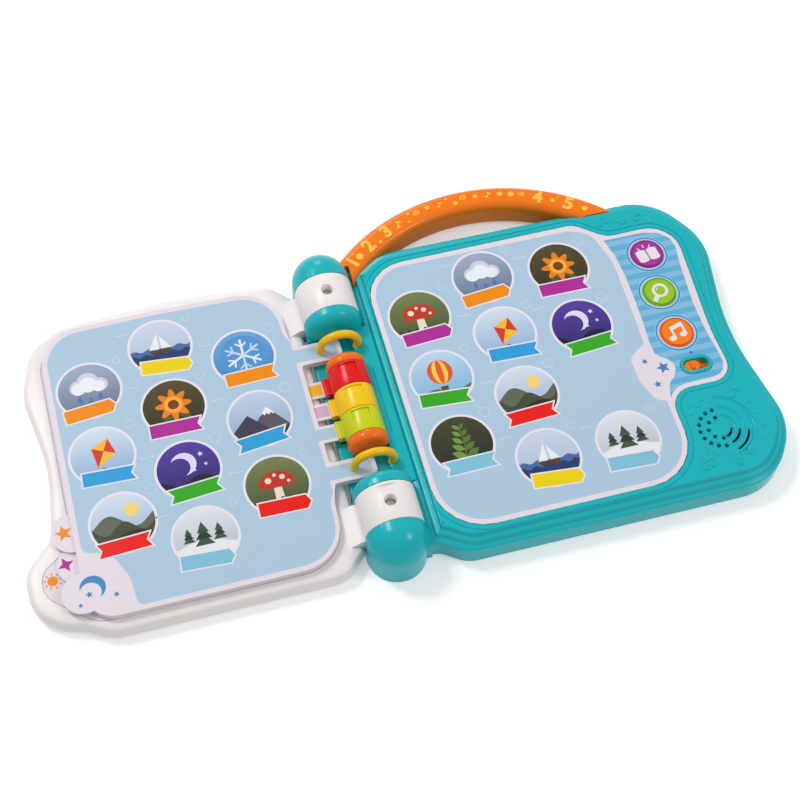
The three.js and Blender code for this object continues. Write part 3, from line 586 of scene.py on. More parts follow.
def moulded(name, colour, roughness=0.3, flow=0.06, grain=900.0, bump=0.02, metallic=0.0, specular=0.3,
            depth=0.0002):
    """A moulded, rolled or printed finish: the colour drifts a little, and a fine grain breaks the gloss.
    Without a colour it takes the ink colour that the mesh carries."""
    material, tree, shader, _ = new_material(name, {"Metallic": metallic, "Specular IOR Level": specular})
    group = tree.nodes.new("ShaderNodeGroup")
    group.node_tree = moulding
    for socket, value in (("Roughness", roughness), ("Flow", flow), ("Grain", grain)):
        group.inputs[socket].default_value = value
    if colour:
        group.inputs["Colour"].default_value = tint(*colour)
    else:
        ink = add_node(tree, "Attribute")
        ink.attribute_name = "ink"
        wire(tree, (ink.outputs["Color"], group.inputs["Colour"]))
    relief = add_node(tree, "Bump", {"Strength": bump, "Distance": depth})
    wire(tree, (group.outputs["Colour"], shader.inputs["Base Color"]),
         (group.outputs["Roughness"], shader.inputs["Roughness"]),
         (group.outputs["Height"], relief.inputs["Height"]),
         (relief.outputs["Normal"], shader.inputs["Normal"]))
    return material


teal_plastic = moulded("teal_plastic", TEAL, 0.24, bump=0.05)
dress(box_body, teal_plastic)

# Raised figures on the sound box: notes, stars and dots of the same teal plastic, half a millimetre high,
# beside the speaker and above the right end of the sheet. The dot that a closed tab passes over is lower.
FIGURE_HIGH = 0.5
LOW_DOT = (184.6, -75.3)
LOW_HIGH = 0.15
DOTS = [
    (214.8, 84.9, 1.5), (221.3, 84.1, 1.1), (226.1, 78.9, 1.1), (189.4, 89.6, 0.9), (197.9, -47.2, 0.9),
    (202.0, -49.7, 0.9), (189.8, -50.1, 0.9), (194.4, -51.3, 1.0), (188.5, -55.1, 0.9), (184.6, -75.3, 1.0),
    (188.6, -81.1, 1.0), (195.2, -84.8, 1.0), (202.2, -86.2, 1.0), (224.9, -54.8, 1.5), (227.8, -63.3, 1.3),
    (227.9, -72.4, 1.3), (224.5, -80.6, 1.3),
]
STARS = [(196.2, 88.7, 3.2, 10), (204.6, -92.4, 2.6, 5), (213.6, -87.6, 2.4, 25)]


def star(x, y, radius, turn=0.0, points=5, waist=0.45):
    """A star's outline: its radius alternates between the tip and the waist."""
    angle = np.radians(90 + turn) + np.arange(2 * points) * np.pi / points
    reach = np.where(np.arange(2 * points) % 2, radius * waist, radius)
    return polar(reach, angle) + [x, y]


def spun(points, degrees, x=0.0, y=0.0):
    """Points turned about the origin and then moved to (x, y)."""
    a = np.radians(degrees)
    return points @ np.array([[np.cos(a), np.sin(a)], [-np.sin(a), np.cos(a)]]) + [x, y]


def note(x, y, size, turn=0.0):
    """A single note: a round head, a stem on its right and a flag that bends down."""
    head = polar(1, np.radians(np.linspace(-200, 20, 24))) * [0.62, 0.5]
    rest = np.array([[0.6, 1.0], [0.9, 1.1], [1.4, 0.9], [1.5, 0.5], [1.7, 1.0], [1.5, 1.5], [0.9, 1.8],
                     [0.4, 2.1], [0.36, 0.5], [0.1, 0.5]])
    return spun(np.concatenate([head, rest]) * size, turn, x, y)


def double_note(x, y, size, turn=0.0):
    """Two round heads with stems under one beam."""
    left = polar(1, np.radians(np.linspace(-215, 5, 22))) * [0.62, 0.5]
    right = left + [1.9, 0.15]
    inside = [[0.62, 1.35], [2.2, 1.55], [2.1, 0.6]]
    beam = [[2.55, 2.3], [0.3, 2.0], [0.3, 0.45]]
    return spun(np.concatenate([left, inside, right, beam]) * size, turn, x, y)


figure_groups = []
tilt = np.radians([0, 25, 45, 65, 80])
for x, y, radius in DOTS:
    reach = 1.2 * radius
    high = LOW_HIGH if (x, y) == LOW_DOT else FIGURE_HIGH
    rise = np.c_[reach * (np.cos(tilt) - 1), BASE_TOP + high * np.sin(tilt)]
    figure_groups.append(layered(circle(x, y, reach, 24), np.r_[[(0, BASE_TOP - 0.2)], rise]))
shapes = [star(*spot) for spot in STARS]
shapes += [note(205.6, 88.0, 2.7, 12), note(217.2, -49.2, 3.0, 5)]
shapes += [double_note(181.8, 89.2, 2.5, 12), double_note(184.2, -91.4, 2.8, 8)]
rise = [(0.1, BASE_TOP - 0.2), (0.1, BASE_TOP + 0.2), (0, BASE_TOP + 0.4), (-0.16, BASE_TOP + FIGURE_HIGH)]
figure_groups += [layered(outline, rise) for outline in shapes]
figures = joined("raised_figures", figure_groups, 60)
dress(figures, teal_plastic)
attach(figures, "base")

# Carry handle: an orange arch behind the sound box, moulded in one piece with rounded edges,
# held by its two feet in the wall of the box.
HANDLE_MIDDLE = (103, 11.3)
HANDLE_OUTER = 127
HANDLE_WIDTH = 16.3
HANDLE_LOW = 1.6
HANDLE_TOP = 20.6
HANDLE_EDGE = 5.0
HANDLE_FOOT = 3.2
HANDLE_SPAN = (41, 139)
ORANGE = (250, 122, 2)


def arch(name):
    """The arch: a rounded rectangle, radius out and z up, carried round the middle from foot to foot."""
    inner = HANDLE_OUTER - HANDLE_WIDTH
    section = fillet([(inner, HANDLE_LOW, HANDLE_FOOT), (HANDLE_OUTER, HANDLE_LOW, HANDLE_FOOT),
                      (HANDLE_OUTER, HANDLE_TOP, HANDLE_EDGE), (inner, HANDLE_TOP, HANDLE_EDGE)], 9)
    angle = np.radians(np.linspace(*HANDLE_SPAN, 97))
    points = np.stack(
        [HANDLE_MIDDLE[0] + section[:, 0] * np.cos(angle)[:, None],
         HANDLE_MIDDLE[1] + section[:, 0] * np.sin(angle)[:, None],
         np.repeat(section[None, :, 1], len(angle), 0)], -1)
    return link_mesh(name, points[::-1].reshape(-1, 3), tube_faces(len(angle), len(section)), 40)


handle = arch("handle_arch")
behind = stacked("behind_handle", base_outline, [(CLEAR, -1)] + [
    (growth + CLEAR, z + CLEAR) for growth, z, _ in RIM[1:-2]] + [(-7.2, 60)], left=BASE_LEFT)
end_post = post("behind_end", 0, SPINE_FACE - BARREL, BARREL + CLEAR, -1, 60, 72)
flank_room = slab("behind_flank", -60, BASE_LEFT + 1 + CLEAR, -150, FLANK_END + CLEAR, -1, 60)
rest_room = slab("behind_rest", -60, 260, -150, 60, -1, 60)
carve(handle, [behind, end_post, flank_room, rest_room])
orange_plastic = moulded("orange_plastic", ORANGE, 0.26, bump=0.04)
dress(handle, orange_plastic)
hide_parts("carry_handle")
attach(handle, "base")

# Print on the handle: plain numbers and small figures along the top of the arch. They are pad printed in
# yellow ink, a few hundredths of a millimetre thick.
INK_YELLOW = (255, 200, 72)
HANDLE_INK = 0.06
NUMBER_SCALE = 1.35
NUMBER_ANGLES = [("1", 132.4, 9.4), ("2", 124.6, 9.4), ("3", 117.0, 9.2), ("4", 66.5, 9.0), ("5", 56.8, 10.0)]
FIGURE_ANGLES = [
    (129.4, -1.0, 2.3), (130.2, 3.6, 1.1), (121.0, -3.6, 1.5), (112.4, 0.0, 2.6), (109.0, -3.0, 1.1),
    (107.8, 2.6, 1.0), (105.2, 0.6, 2.2), (101.4, 1.4, 2.1), (97.6, 0.8, 2.0), (94.8, 3.0, 1.0),
    (92.6, -2.0, 1.5), (89.6, 1.0, 2.3), (85.8, 0.6, 2.0), (82.0, 1.2, 2.1), (78.2, 1.0, 2.1),
    (74.8, 0.8, 2.0), (71.4, 1.0, 2.1), (61.8, -0.4, 1.9), (60.4, 3.4, 1.0), (51.6, 0.0, 2.4),
]


def on_arch(points, angle, lift=0.0):
    """Flat points (along, up) laid on the arch: along turns about the handle's middle, clockwise for
    plus, and up adds to the radius of the arch's middle line."""
    middle = HANDLE_OUTER - HANDLE_WIDTH / 2
    radius = middle + points[:, 1] + lift
    turn = np.radians(angle) - points[:, 0] / middle
    return polar(radius, turn) + HANDLE_MIDDLE


def spiral(size, turns=1.6, width=0.32):
    """A band along a spiral: the radius grows in step with the angle."""
    t = np.linspace(0.15, 1, 40)
    line = polar(t * size, 2 * np.pi * turns * t)
    side = unit(np.gradient(line, axis=0))
    normal = np.c_[-side[:, 1], side[:, 0]] * width * size / 2
    return np.concatenate([line + normal, (line - normal)[::-1]])[::-1]


ink_groups = []
figure_kinds = [
    lambda size: circle(0, 0, size, 24), spiral, lambda size: star(0, 0, size * 1.15),
    lambda size: note(-0.4 * size, -0.9 * size, size * 0.85), lambda size: circle(0, 0, size * 0.8, 24),
]
ink_levels = [(0, HANDLE_TOP - 0.05), (0, HANDLE_TOP + HANDLE_INK)]
for k, (angle, lift, size) in enumerate(FIGURE_ANGLES):
    ink_groups.append(layered(on_arch(figure_kinds[k % 5](size), angle, lift), ink_levels))
handle_print = joined("handle_figures", ink_groups)
yellow_ink = moulded("yellow_ink", INK_YELLOW, 0.35, bump=0.01)
dress(handle_print, yellow_ink)
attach(handle_print, "base")

for digit, angle, size in NUMBER_ANGLES:
    text = bpy.data.curves.new("number", "FONT")
    text.body = digit
    text.size = size * NUMBER_SCALE
    text.align_x = text.align_y = "CENTER"
    text.offset = 0.5
    text.extrude = HANDLE_INK / 2 + 0.02
    carrier = bpy.data.objects.new("number_carrier", text)
    bpy.context.scene.collection.objects.link(carrier)
    graph = bpy.context.evaluated_depsgraph_get()
    flat = bpy.data.meshes.new_from_object(carrier.evaluated_get(graph))
    bpy.data.objects.remove(carrier)
    spots = np.zeros(len(flat.vertices) * 3)
    flat.vertices.foreach_get("co", spots)
    spots = spots.reshape(-1, 3)
    bent = np.c_[on_arch(spots[:, :2], angle, -0.4), HANDLE_TOP + spots[:, 2] + HANDLE_INK / 2 - 0.01] * MM
    flat.vertices.foreach_set("co", bent.ravel())
    flat.update()
    number = bpy.data.objects.new(f"handle_number_{digit}", flat)
    bpy.context.scene.collection.objects.link(number)
    dress(number, yellow_ink)
    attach(number, "base")

# Cover: a white tray with two knuckles in one with it. The knuckles turn between the spine's barrels,
# and each has a blind screw hole on top.
COVER = 11
COVER_EDGE = -18.2
COVER_RECESS = 0.9
WHITE = (243, 236, 235)
COVER_CORNERS = [
    (COVER_EDGE, -88, 0), (COVER_EDGE, 89, 0), (-31, 102.4, 16), (-92, 107.6, 260), (-160, 102.6, 30),
    (-180, 91, 22), (-189.4, 60, 40), (-181.4, 8, 120), (-187, -36, 14), (-205, -54.5, 20),
    (-203.6, -80, 22), (-188, -91.4, 16), (-177, -94, 8), (-163, -102.2, 22), (-31, -101.4, 18),
]
COVER_RIM = [
    (-3.2, 0, 0), (-0.9, 0.7, 1.6), (0, 3.2, 2.4), (0, 7.6, 3.2), (-1.9, 10.4, 2.2), (-4.6, COVER, 0),
]
COVER_WALL = 3.4
COVER_ROOM = [(0, -1), (0, 6.8), (-3, 8.2)]
COVER_ROOM_RIGHT = -28
SCREW_HEAD_R = 3.5
SCREW_BORE_R = 1.7
STEP = (-5.6, 5.2, -66.4, -62.8)
COVER_SHEET_CORNERS = [
    (-30, -94, 26), (-28.4, -60, 14), (-28.4, 60, 14), (-30, 94, 26), (-102, 96, 300), (-175.8, 94, 25),
    (-175.8, -44, 12), (-195.4, -58, 12), (-195.4, -72, 14), (-170, -94, 20),
]
KNUCKLE_ARM = [(-8, 5), (-14, 1.6), (-24, 0.9), (-25.6, 4), (-25.6, COVER - 0.1), (-19.4, 15), (-12, 15)]

cover_outline = fillet(COVER_CORNERS, 3)
cover_sheet_outline = fillet(COVER_SHEET_CORNERS, 3)
cover = stacked("cover_tray", cover_outline, fillet(COVER_RIM, 12, closed=False), 40)
cover_room_outline = grown(cover_outline, -COVER_WALL)
cover_room_outline[:, 0] = np.minimum(cover_room_outline[:, 0], COVER_ROOM_RIGHT)
carve(cover, [stacked("cover_room", cover_room_outline, COVER_ROOM)], smooth=40)
for side in (-1, 1):
    low, high = span(side, *KNUCKLE)
    drum = soft_bar("knuckle_drum", BARREL, low, high, (0.15, 0.15))
    arm = prism_y("knuckle_arm", KNUCKLE_ARM[::-1], low, high)
    carve(cover, [drum, arm], "UNION", 40)
drum_top = AXIS + BARREL
screw_levels = [(0, drum_top - 8), (0, drum_top - 0.5), (0.5, drum_top + 0.1), (0.5, drum_top + 1)]
cover_cuts = [stacked("cover_sheet_room", grown(cover_sheet_outline, CLEAR),
                      [(0, COVER - COVER_RECESS), (0, COVER + 3)])]
for side in (-1, 1):
    middle = side * sum(KNUCKLE) / 2
    cover_cuts.append(barrel("pin_hole", PIN_BORE, *span(side, KNUCKLE[0] - 1, KNUCKLE[1] + 1), 32))
    cover_cuts.append(stacked("screw_hole", circle(0, middle, SCREW_HEAD_R), screw_levels))
    cover_cuts.append(post("screw_bore", 0, middle, SCREW_BORE_R, AXIS, drum_top, 24))
cover_cuts.append(slab("step_cut", *STEP, drum_top - 1.1, drum_top + 2))
carve(cover, cover_cuts, smooth=40)
white_plastic = moulded("white_plastic", WHITE, 0.33, flow=0.03, bump=0.05)
dress(cover, white_plastic)
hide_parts("cover_shell")
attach(cover, "cover")
dress(nodes["cover_front_plate"], white_plastic)

# Binder rings: two yellow plastic rods, each moulded as most of a circle. They stand in the spine on both
# sides of the roller, and the pages turn on them.
YELLOW_RING = (246, 196, 8)
ring_plastic = moulded("ring_plastic", YELLOW_RING, 0.2, bump=0.02)
for place_name, y in RING_Y.items():
    ring = bent_rod(f"ring_rod_{place_name}", RING_TUBE, *RING_ARC, y, 96, 32)
    dress(ring, ring_plastic)
    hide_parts(f"binder_ring_{place_name}")
    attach(ring, "base")

# Page roller: two orange end caps and three coloured rings on a steel spindle. Each ring has a shallow
# recess on its crest and a lever that grips the tongue of its page.
RING_COLOURS = {"one": (232, 4, 14), "two": (251, 205, 2), "three": (207, 213, 4)}
GRIP_R = 11.9
DENT_ARC = (68, 122)
DENT_SPAN = (0.6, 6.4)
DENT_DEPTH = 0.9
LEVER_DEPTH = 4.6
PAGE = 1.3


def page_low(index):
    """The underside of page 0, 1 or 2 as it lies on the cover."""
    return COVER + CLEAR + index * (PAGE + CLEAR)


half = 1.5 * RING_LENGTH + 2 * CLEAR
cap_profile = np.array([
    (0, 0), (ROLLER_R - 0.4, 0), (ROLLER_R, 0.4), (ROLLER_R, CAP_LENGTH - 3.2),
    (ROLLER_R - 0.35, CAP_LENGTH - 1.7), (ROLLER_R - 1.1, CAP_LENGTH - 0.7),
    (ROLLER_R - 2.3, CAP_LENGTH - 0.15), (ROLLER_R - 3.6, CAP_LENGTH), (ROLLER_R - 7, CAP_LENGTH),
    (0, CAP_LENGTH),
]) + [0, half]
cap_plastic = moulded("cap_plastic", (247, 112, 2), 0.24, bump=0.03)
for place_name, side in (("top", 1), ("bottom", -1)):
    cap = turned(f"roller_end_{place_name}", facing(cap_profile, side) + [0, ROLLER_MID], 96, 50)
    dress(cap, cap_plastic)
    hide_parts(f"roller_cap_{place_name}")
    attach(cap, "base")

for index, (name, colour) in enumerate(RING_COLOURS.items()):
    middle = ROLLER_MID + (1 - index) * (RING_LENGTH + CLEAR)
    low, high = middle - RING_LENGTH / 2, middle + RING_LENGTH / 2
    ring = soft_bar(f"page_grip_{name}", GRIP_R, low, high, (0.12, 0.14))
    from_y, to_y = lever_range(index)
    grip_low = page_low(index) + PAGE / 2 - LEVER_DEPTH / 2
    grip_high = grip_low + LEVER_DEPTH
    lever = prism_y("lever", fillet([(-LEVER_REACH, grip_low, 1.2), (-6, grip_low, 0), (-6, grip_high, 0),
                                     (-LEVER_REACH, grip_high, 1.2)], 15), from_y, to_y)
    carve(ring, [lever], "UNION")
    angle = np.radians(np.linspace(*DENT_ARC, 28))
    dent = np.r_[polar(GRIP_R - DENT_DEPTH, angle), polar(GRIP_R + 4, angle[::-1])] + [0, AXIS]
    tongue_slot = slab("tongue_slot", -20, -12.9, from_y - 1, to_y + 1, page_low(index) - CLEAR,
                       page_low(index) + PAGE + CLEAR)
    carve(ring, [prism_y("dent", dent[::-1], middle + DENT_SPAN[0], middle + DENT_SPAN[1]), tongue_slot,
                 barrel("bore", PIN_BORE, middle - 10, middle + 10, 32)])
    dress(ring, moulded(f"ring_{name}_plastic", colour, 0.27, bump=0.03))
    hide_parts(f"page_ring_{name}")
    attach(ring, f"leaf_{name}")

# Stiff pages: laminated board, punched for the binder rings, with one tongue in the roller's lever
# and a thumb tab of its own on the outer side.
PAGE_LEFT = -174.4
PAGE_HALF = 94
PAGE_SPINE = -24.8
TONGUE_END = -13.2
TONGUE_HALF = 6.8
RING_TONGUE_END = 1.2
TAB_R = 12
HOLE_PLAY = 1.7
TABS = {"one": -57.5, "two": -38.5, "three": -77}
BORDER = (232, 222, 231)


def page_outline(from_y, to_y):
    """The page's outline without its tab: two ring tongues, one lever tongue and rounded outer corners."""
    top, bottom = RING_Y["top"], RING_Y["bottom"]
    outline = [(PAGE_LEFT, -PAGE_HALF - 0.6, 17), (-30, -PAGE_HALF, 26), (-28, -57, 20)]
    for low, high, end, start_radius, end_radius in (
        (bottom - TONGUE_HALF, bottom + TONGUE_HALF, RING_TONGUE_END, 2, 4), (from_y, to_y, TONGUE_END, 1, 0),
        (top - TONGUE_HALF, top + TONGUE_HALF, RING_TONGUE_END, 2, 4),
    ):
        outline += [(PAGE_SPINE, low, start_radius), (end, low, end_radius), (end, high, end_radius),
                    (PAGE_SPINE, high, start_radius)]
    outline += [(-28, 57, 20), (-30, PAGE_HALF + 0.5, 26), (-102, PAGE_HALF + 2.6, 300),
                (PAGE_LEFT, PAGE_HALF + 1, 25)]
    return fillet(outline, 4)


board = moulded("page_board", BORDER, 0.3, flow=0.02, grain=1500.0, bump=0.02)
for index, name in enumerate(RING_COLOURS):
    from_y, to_y = lever_range(index)
    low = page_low(index)
    page = stacked(f"leaf_{name}_board", page_outline(from_y + 0.2, to_y - 0.2), [(0, low), (0, low + PAGE)])
    tab = post("tab", PAGE_LEFT, TABS[name], TAB_R, low, low + PAGE, 64)
    carve(page, [tab], "UNION")
    drop = AXIS - low - PAGE / 2
    hole_x = -np.sqrt(RING_R**2 - drop**2)
    carve(page, [post("ring_hole", hole_x, y, RING_TUBE + HOLE_PLAY, low - 1, low + PAGE + 1, 32)
                 for y in RING_Y.values()])
    dress(page, board)
    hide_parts(f"page_{name}")
    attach(page, f"leaf_{name}")

# Printed inks: every sheet and page carries a thin glossy print. Each flat shape of the print is a
# film of ink about a hundredth of a millimetre thick, laid over the one below it.
INK = 0.008
SKY_BLUE = (176, 203, 225)
INKS = {
    "purple": (176, 40, 150), "red": (236, 22, 12), "orange": (244, 140, 2), "green": (52, 170, 30),
    "yellow": (240, 212, 4), "blue": (45, 160, 220), "pale": (130, 195, 220), "white": (236, 230, 238),
}


def printed(name, shapes, z, up=1):
    """One mesh of closed ink films: shapes are (outline, colour, layer), and a colour may be a pair that
    runs from the bottom of the outline to its top. Layer k ends k ink thicknesses above z."""
    points, faces, colours, first = [], [], [], 0
    for outline, colour, layer in shapes:
        outline = np.asarray(outline, float)
        count = len(outline)
        turn = np.roll(outline, -1, 0)
        if (outline[:, 0] * turn[:, 1] - turn[:, 0] * outline[:, 1]).sum() < 0:
            outline = outline[::-1]
        heights = (z, z + up * layer * INK)[::up]
        points += [np.c_[outline, np.full(count, height)] for height in heights]
        faces += tube_faces(2, count, first)
        if np.ndim(colour) == 1:
            ink = np.tile(tint(*colour), (count, 1))
        else:
            low, high = outline[:, 1].min(), outline[:, 1].max()
            share = ((outline[:, 1] - low) / (high - low))[:, None]
            ink = np.array(tint(*colour[0])) * (1 - share) + np.array(tint(*colour[1])) * share
        colours += [ink, ink]
        first += 2 * count
    thing = link_mesh(name, np.concatenate(points), faces)
    layer_colours = thing.data.color_attributes.new("ink", "FLOAT_COLOR", "POINT")
    layer_colours.data.foreach_set("color", np.concatenate(colours).ravel())
    return thing


ink_material = moulded("printed_ink", None, 0.3, flow=0.03, grain=1600, specular=0.25, depth=0.0001)


def stroke(line, width):
    """The outline of a band of even width along a line of points."""
    side = unit(np.gradient(line, axis=0))
    normal = np.c_[-side[:, 1], side[:, 0]] * width / 2
    return np.concatenate([line - normal, (line + normal)[::-1]])


def hoop(x, y, radius, width):
    """A thin ring as one band with square ends that stops a hair before it closes."""
    angle = np.radians(np.linspace(0, 359.9, 64))
    return np.concatenate([polar(radius + width / 2, angle), polar(radius - width / 2, angle[::-1])]) + [x, y]


def ripple(x, y, length, width=0.5):
    """A row of three small arcs, as a child draws water."""
    t = np.linspace(0, 3, 40)
    return stroke(np.c_[x + t * length / 3, y + np.abs(np.sin(np.pi * t)) * length / 12], width)


# Pictures of the medallions: plain motifs made of a few flat tones, drawn about the middle of a circle,
# with the lowest film first. Each one is printed in several places, mirrored in every second one.
PICTURE_R = 18.1
PICTURE_RING = 19.6
RIBBON = (30, 8.6)
RIBBON_DROP = 14.2


def below(high, low=None):
    """The part of a picture circle under a line, and over another where there is one: each line gives y
    for an x."""
    x = np.linspace(-PICTURE_R, PICTURE_R, 61)
    edge = np.sqrt((PICTURE_R**2 - x**2).clip(0))
    top = np.clip(high(x), -edge, edge)
    bottom = np.clip(low(x), -edge, edge) if low else -edge
    return np.concatenate([np.c_[x, bottom], np.c_[x, np.maximum(top, bottom + 1e-3)][::-1]])


def hump(height, swell, length, shift=0.0):
    """A wavy line: height plus swell times the sine of the way along."""
    return lambda x: height + swell * np.sin(2 * np.pi * (x + shift) / length)


def peak(top, slope, middle):
    """A mountain's line: it falls by the slope for each millimetre from its middle."""
    return lambda x: top - slope * np.abs(x - middle)


def discs(tone, *spots):
    """Round spots (x, y, radius) of one tone."""
    return [(circle(*spot), tone) for spot in spots]


def bar(half, low, high):
    """An upright bar about x = 0."""
    return np.array([(-half, low), (half, low), (half, high), (-half, high)])


def leaf_blade(length, width, count):
    """A pointed leaf along X: each edge is half a sine wave."""
    blade = np.c_[np.linspace(0, length, count), width * np.sin(np.linspace(0, np.pi, count))]
    return np.concatenate([blade, (blade * [1, -1])[::-1][1:-1]])


def hills(tones):
    """A sun over three ridges."""
    return discs(tones[3], (-6, 7, 4.2)) + [
        (below(hump(1, 4.5, 30)), tones[0]), (below(hump(-3, 3.5, 22, 6)), tones[1]),
        (below(hump(-8, 2, 34, 14)), tones[2])]


def water(tones):
    """A small boat on three swells."""
    hull = np.array([(-7, -2), (7, -2), (4.6, -5.4), (-4.6, -5.4)])
    return [(below(hump(-1, 0.8, 9)), tones[0]), (hull, tones[3]),
            (np.array([(-0.6, -1.4), (-0.6, 10), (-6.6, -1.4)]), tones[2]),
            (np.array([(0.6, -1.4), (6.4, -1.4), (0.6, 8)]), tones[2]),
            (below(hump(-4.6, 0.9, 8, 3)), tones[1])]


def pines(tones):
    """Three fir trees on a slope."""
    shapes = [(below(hump(-4, 2.5, 44, 9)), tones[0])]
    for x, y, size in ((-8, -3, 0.8), (1, -5, 1.15), (9.4, -2, 0.7)):
        for k in range(3):
            tier = np.array([(-5 + k, 0), (5 - k, 0), (0, 6)]) * size + [x, y + 3.4 * k * size]
            shapes.append((tier, tones[1 + k % 2]))
    return shapes


def bloom(tones):
    """A flower seen from above on two leaves: the edge swells and shrinks eight times round."""
    t = np.linspace(0, 2 * np.pi, 120, endpoint=False)
    petals = polar(8.6 + 2.2 * np.cos(8 * t), t) + [0, 1.5]
    leaf = leaf_blade(13, 2.6, 20)
    return [(spun(leaf, -62, 1, 0), tones[0]), (spun(leaf, -128, -1, 0), tones[0]), (petals, tones[1]),
            (circle(0, 1.5, 5.4), tones[2]), (circle(0, 1.5, 3.2), tones[3])]


def flake(tones):
    """A snow crystal: three crossed bars with short side bars."""
    arm = [bar(0.7, 0, 11.5)] + [spun(bar(0.5, 0, 4.4), turn, 0, 6.2) for turn in (-50, 50)]
    return discs(tones[0], (0, 1, 14)) + [
        (spun(piece, 60 * k, 0, 1), tones[1 + k % 2]) for k in range(6) for piece in arm]


def cloud(tones):
    """A heap of cloud with drops under it."""
    shapes = discs(tones[0], (-7, 3, 4.6), (6, 3, 5), (0, 6, 6.4))
    shapes += discs(tones[1], (-6, 2, 3.8), (6, 2, 4), (0, 4, 5.2))
    for x, y in ((-6, -5), (0, -7), (6, -5)):
        t = np.linspace(0, 2 * np.pi, 30, endpoint=False)
        drop = np.c_[1.5 * np.sin(t) * np.sin(t / 2), 2.6 * np.cos(t)] + [x, y]
        shapes.append((drop, tones[2]))
    return shapes


def peaks(tones):
    """Two mountains with snow on top."""
    near, snow = peak(7, 1.25, -5), hump(2, 0.7, 2 * np.pi / 2.4)
    return [(below(near), tones[0]), (below(lambda x: np.maximum(near(x), snow(x)), snow), tones[2]),
            (below(peak(3.4, 1.0, 7)), tones[1]), (below(hump(-9, 1.2, 18)), tones[3])]


def crescent(x, y, radius, turn):
    """A new moon: an arc of the full circle, closed by an arc of a smaller circle beside its middle."""
    a = np.radians(np.linspace(-124, 124, 30))
    b = np.radians(np.linspace(98.8, -98.8, 30))[1:-1]
    inner = polar(0.838, b) - [0.432, 0]
    return spun(np.concatenate([polar(1, a), inner]) * radius, turn, x, y)


def night(tones):
    """A new moon and stars over a dark ridge."""
    shapes = [(crescent(-2, 4, 7.4, 35), tones[2])]
    shapes += [(star(*spot, 10), tones[2]) for spot in ((8.5, 8.5, 1.8), (10.5, 1.5, 1.3), (3.6, -1.2, 1.1))]
    return shapes + [(below(hump(-7, 2.4, 26)), tones[1])]


def balloon(tones):
    """A hot air balloon with three panels over low hills."""
    t = np.linspace(0, 2 * np.pi, 60, endpoint=False)
    shapes = [(below(hump(-9, 1.8, 24)), tones[0])]
    for share, tone in ((1, 1), (0.6, 2), (0.25, 1)):
        shapes.append((polar(1, t) * [7.6 * share, 8.4] + [0, 4], tones[tone]))
    return shapes + [(np.array([(-2, -9), (2, -9), (2.4, -6), (-2.4, -6)]), tones[3])]


def fern(tones):
    """A curved stalk with pairs of leaves."""
    stalk = np.c_[2.5 * np.sin(np.linspace(0, 2.4, 20)) - 1, np.linspace(-15, 12, 20)]
    shapes = [(stroke(stalk, 0.9), tones[0])]
    leaf = leaf_blade(8, 1.9, 16)
    for k in range(5):
        for side in (-1, 1):
            turn = 90 - side * (62 - 5 * k)
            shapes.append((spun(leaf * (1.15 - 0.13 * k), turn, 0.8, -9 + 4.6 * k), tones[1 + (side > 0)]))
    return shapes


def toadstool(tones):
    """A spotted cap on a pale stalk in the grass."""
    cap = np.r_[polar(1, np.linspace(0, np.pi, 40)) * [10.5, 9], [(-8, -1.8), (8, -1.8)]]
    stalk = fillet([(-2.6, -12, 0), (2.8, -12, 0), (2.2, 0, 0), (-2.2, 0, 0)])
    spots = discs(tones[2], (-4.6, 3.4, 1.9), (3.8, 4.4, 1.6), (-0.4, 6.4, 1.1), (7, 1, 1))
    return [(stalk, tones[2]), (cap, tones[1])] + spots + [(below(hump(-9, 1.1, 5)), tones[0])]


def kite(tones):
    """A kite of four fields with a tail."""
    corners = np.array([(0, 11), (7, 3), (0, -8), (-7, 3)]) * 1.05
    fields = [np.array([corners[k], corners[(k + 1) % 4], (0, 3)])[::-1] for k in range(4)]
    y = np.linspace(-16, -8, 24)
    tail = stroke(np.c_[1.8 * np.sin(y * 1.1), y], 0.7)
    return [(tail, tones[3])] + [(spun(field, -24), tones[1 + k % 2]) for k, field in enumerate(fields)]


PICTURES = [
    (hills, ((150, 176, 208), (214, 226, 240)), [(96, 104, 88), (66, 74, 52), (42, 44, 30), (250, 214, 120)]),
    (water, ((168, 186, 214), (206, 216, 234)),
     [(70, 106, 160), (36, 60, 104), (240, 240, 244), (96, 56, 34)]),
    (bloom, ((44, 40, 24), (84, 74, 40)), [(64, 96, 40), (240, 128, 20), (252, 176, 60), (120, 60, 14)]),
    (night, ((40, 34, 96), (84, 60, 160)), [(30, 26, 60), (24, 22, 48), (226, 220, 250), (0, 0, 0)]),
    (pines, ((176, 186, 200), (226, 230, 238)), [(236, 236, 240), (60, 84, 66), (38, 58, 48), (0, 0, 0)]),
    (flake, ((60, 130, 196), (104, 170, 222)), [(84, 150, 208), (232, 240, 250), (196, 220, 242), (0, 0, 0)]),
    (peaks, ((132, 160, 200), (196, 212, 232)), [(92, 84, 96), (66, 62, 78), (240, 240, 246), (48, 56, 46)]),
    (toadstool, ((58, 74, 44), (120, 130, 80)), [(44, 66, 28), (196, 52, 30), (238, 226, 206), (0, 0, 0)]),
    (balloon, ((112, 176, 220), (190, 218, 238)),
     [(86, 122, 70), (232, 92, 40), (250, 206, 92), (110, 70, 40)]),
    (fern, ((30, 34, 26), (66, 70, 44)), [(122, 96, 50), (116, 150, 70), (84, 122, 52), (0, 0, 0)]),
    (cloud, ((96, 112, 140), (160, 176, 200)), [(206, 212, 224), (238, 240, 246), (70, 120, 190), (0, 0, 0)]),
    (kite, ((128, 168, 214), (214, 228, 242)), [(0, 0, 0), (216, 60, 44), (250, 190, 50), (120, 70, 40)]),
]
RIBBONS = ["purple", "red", "orange", "green", "yellow", "blue", "pale"]


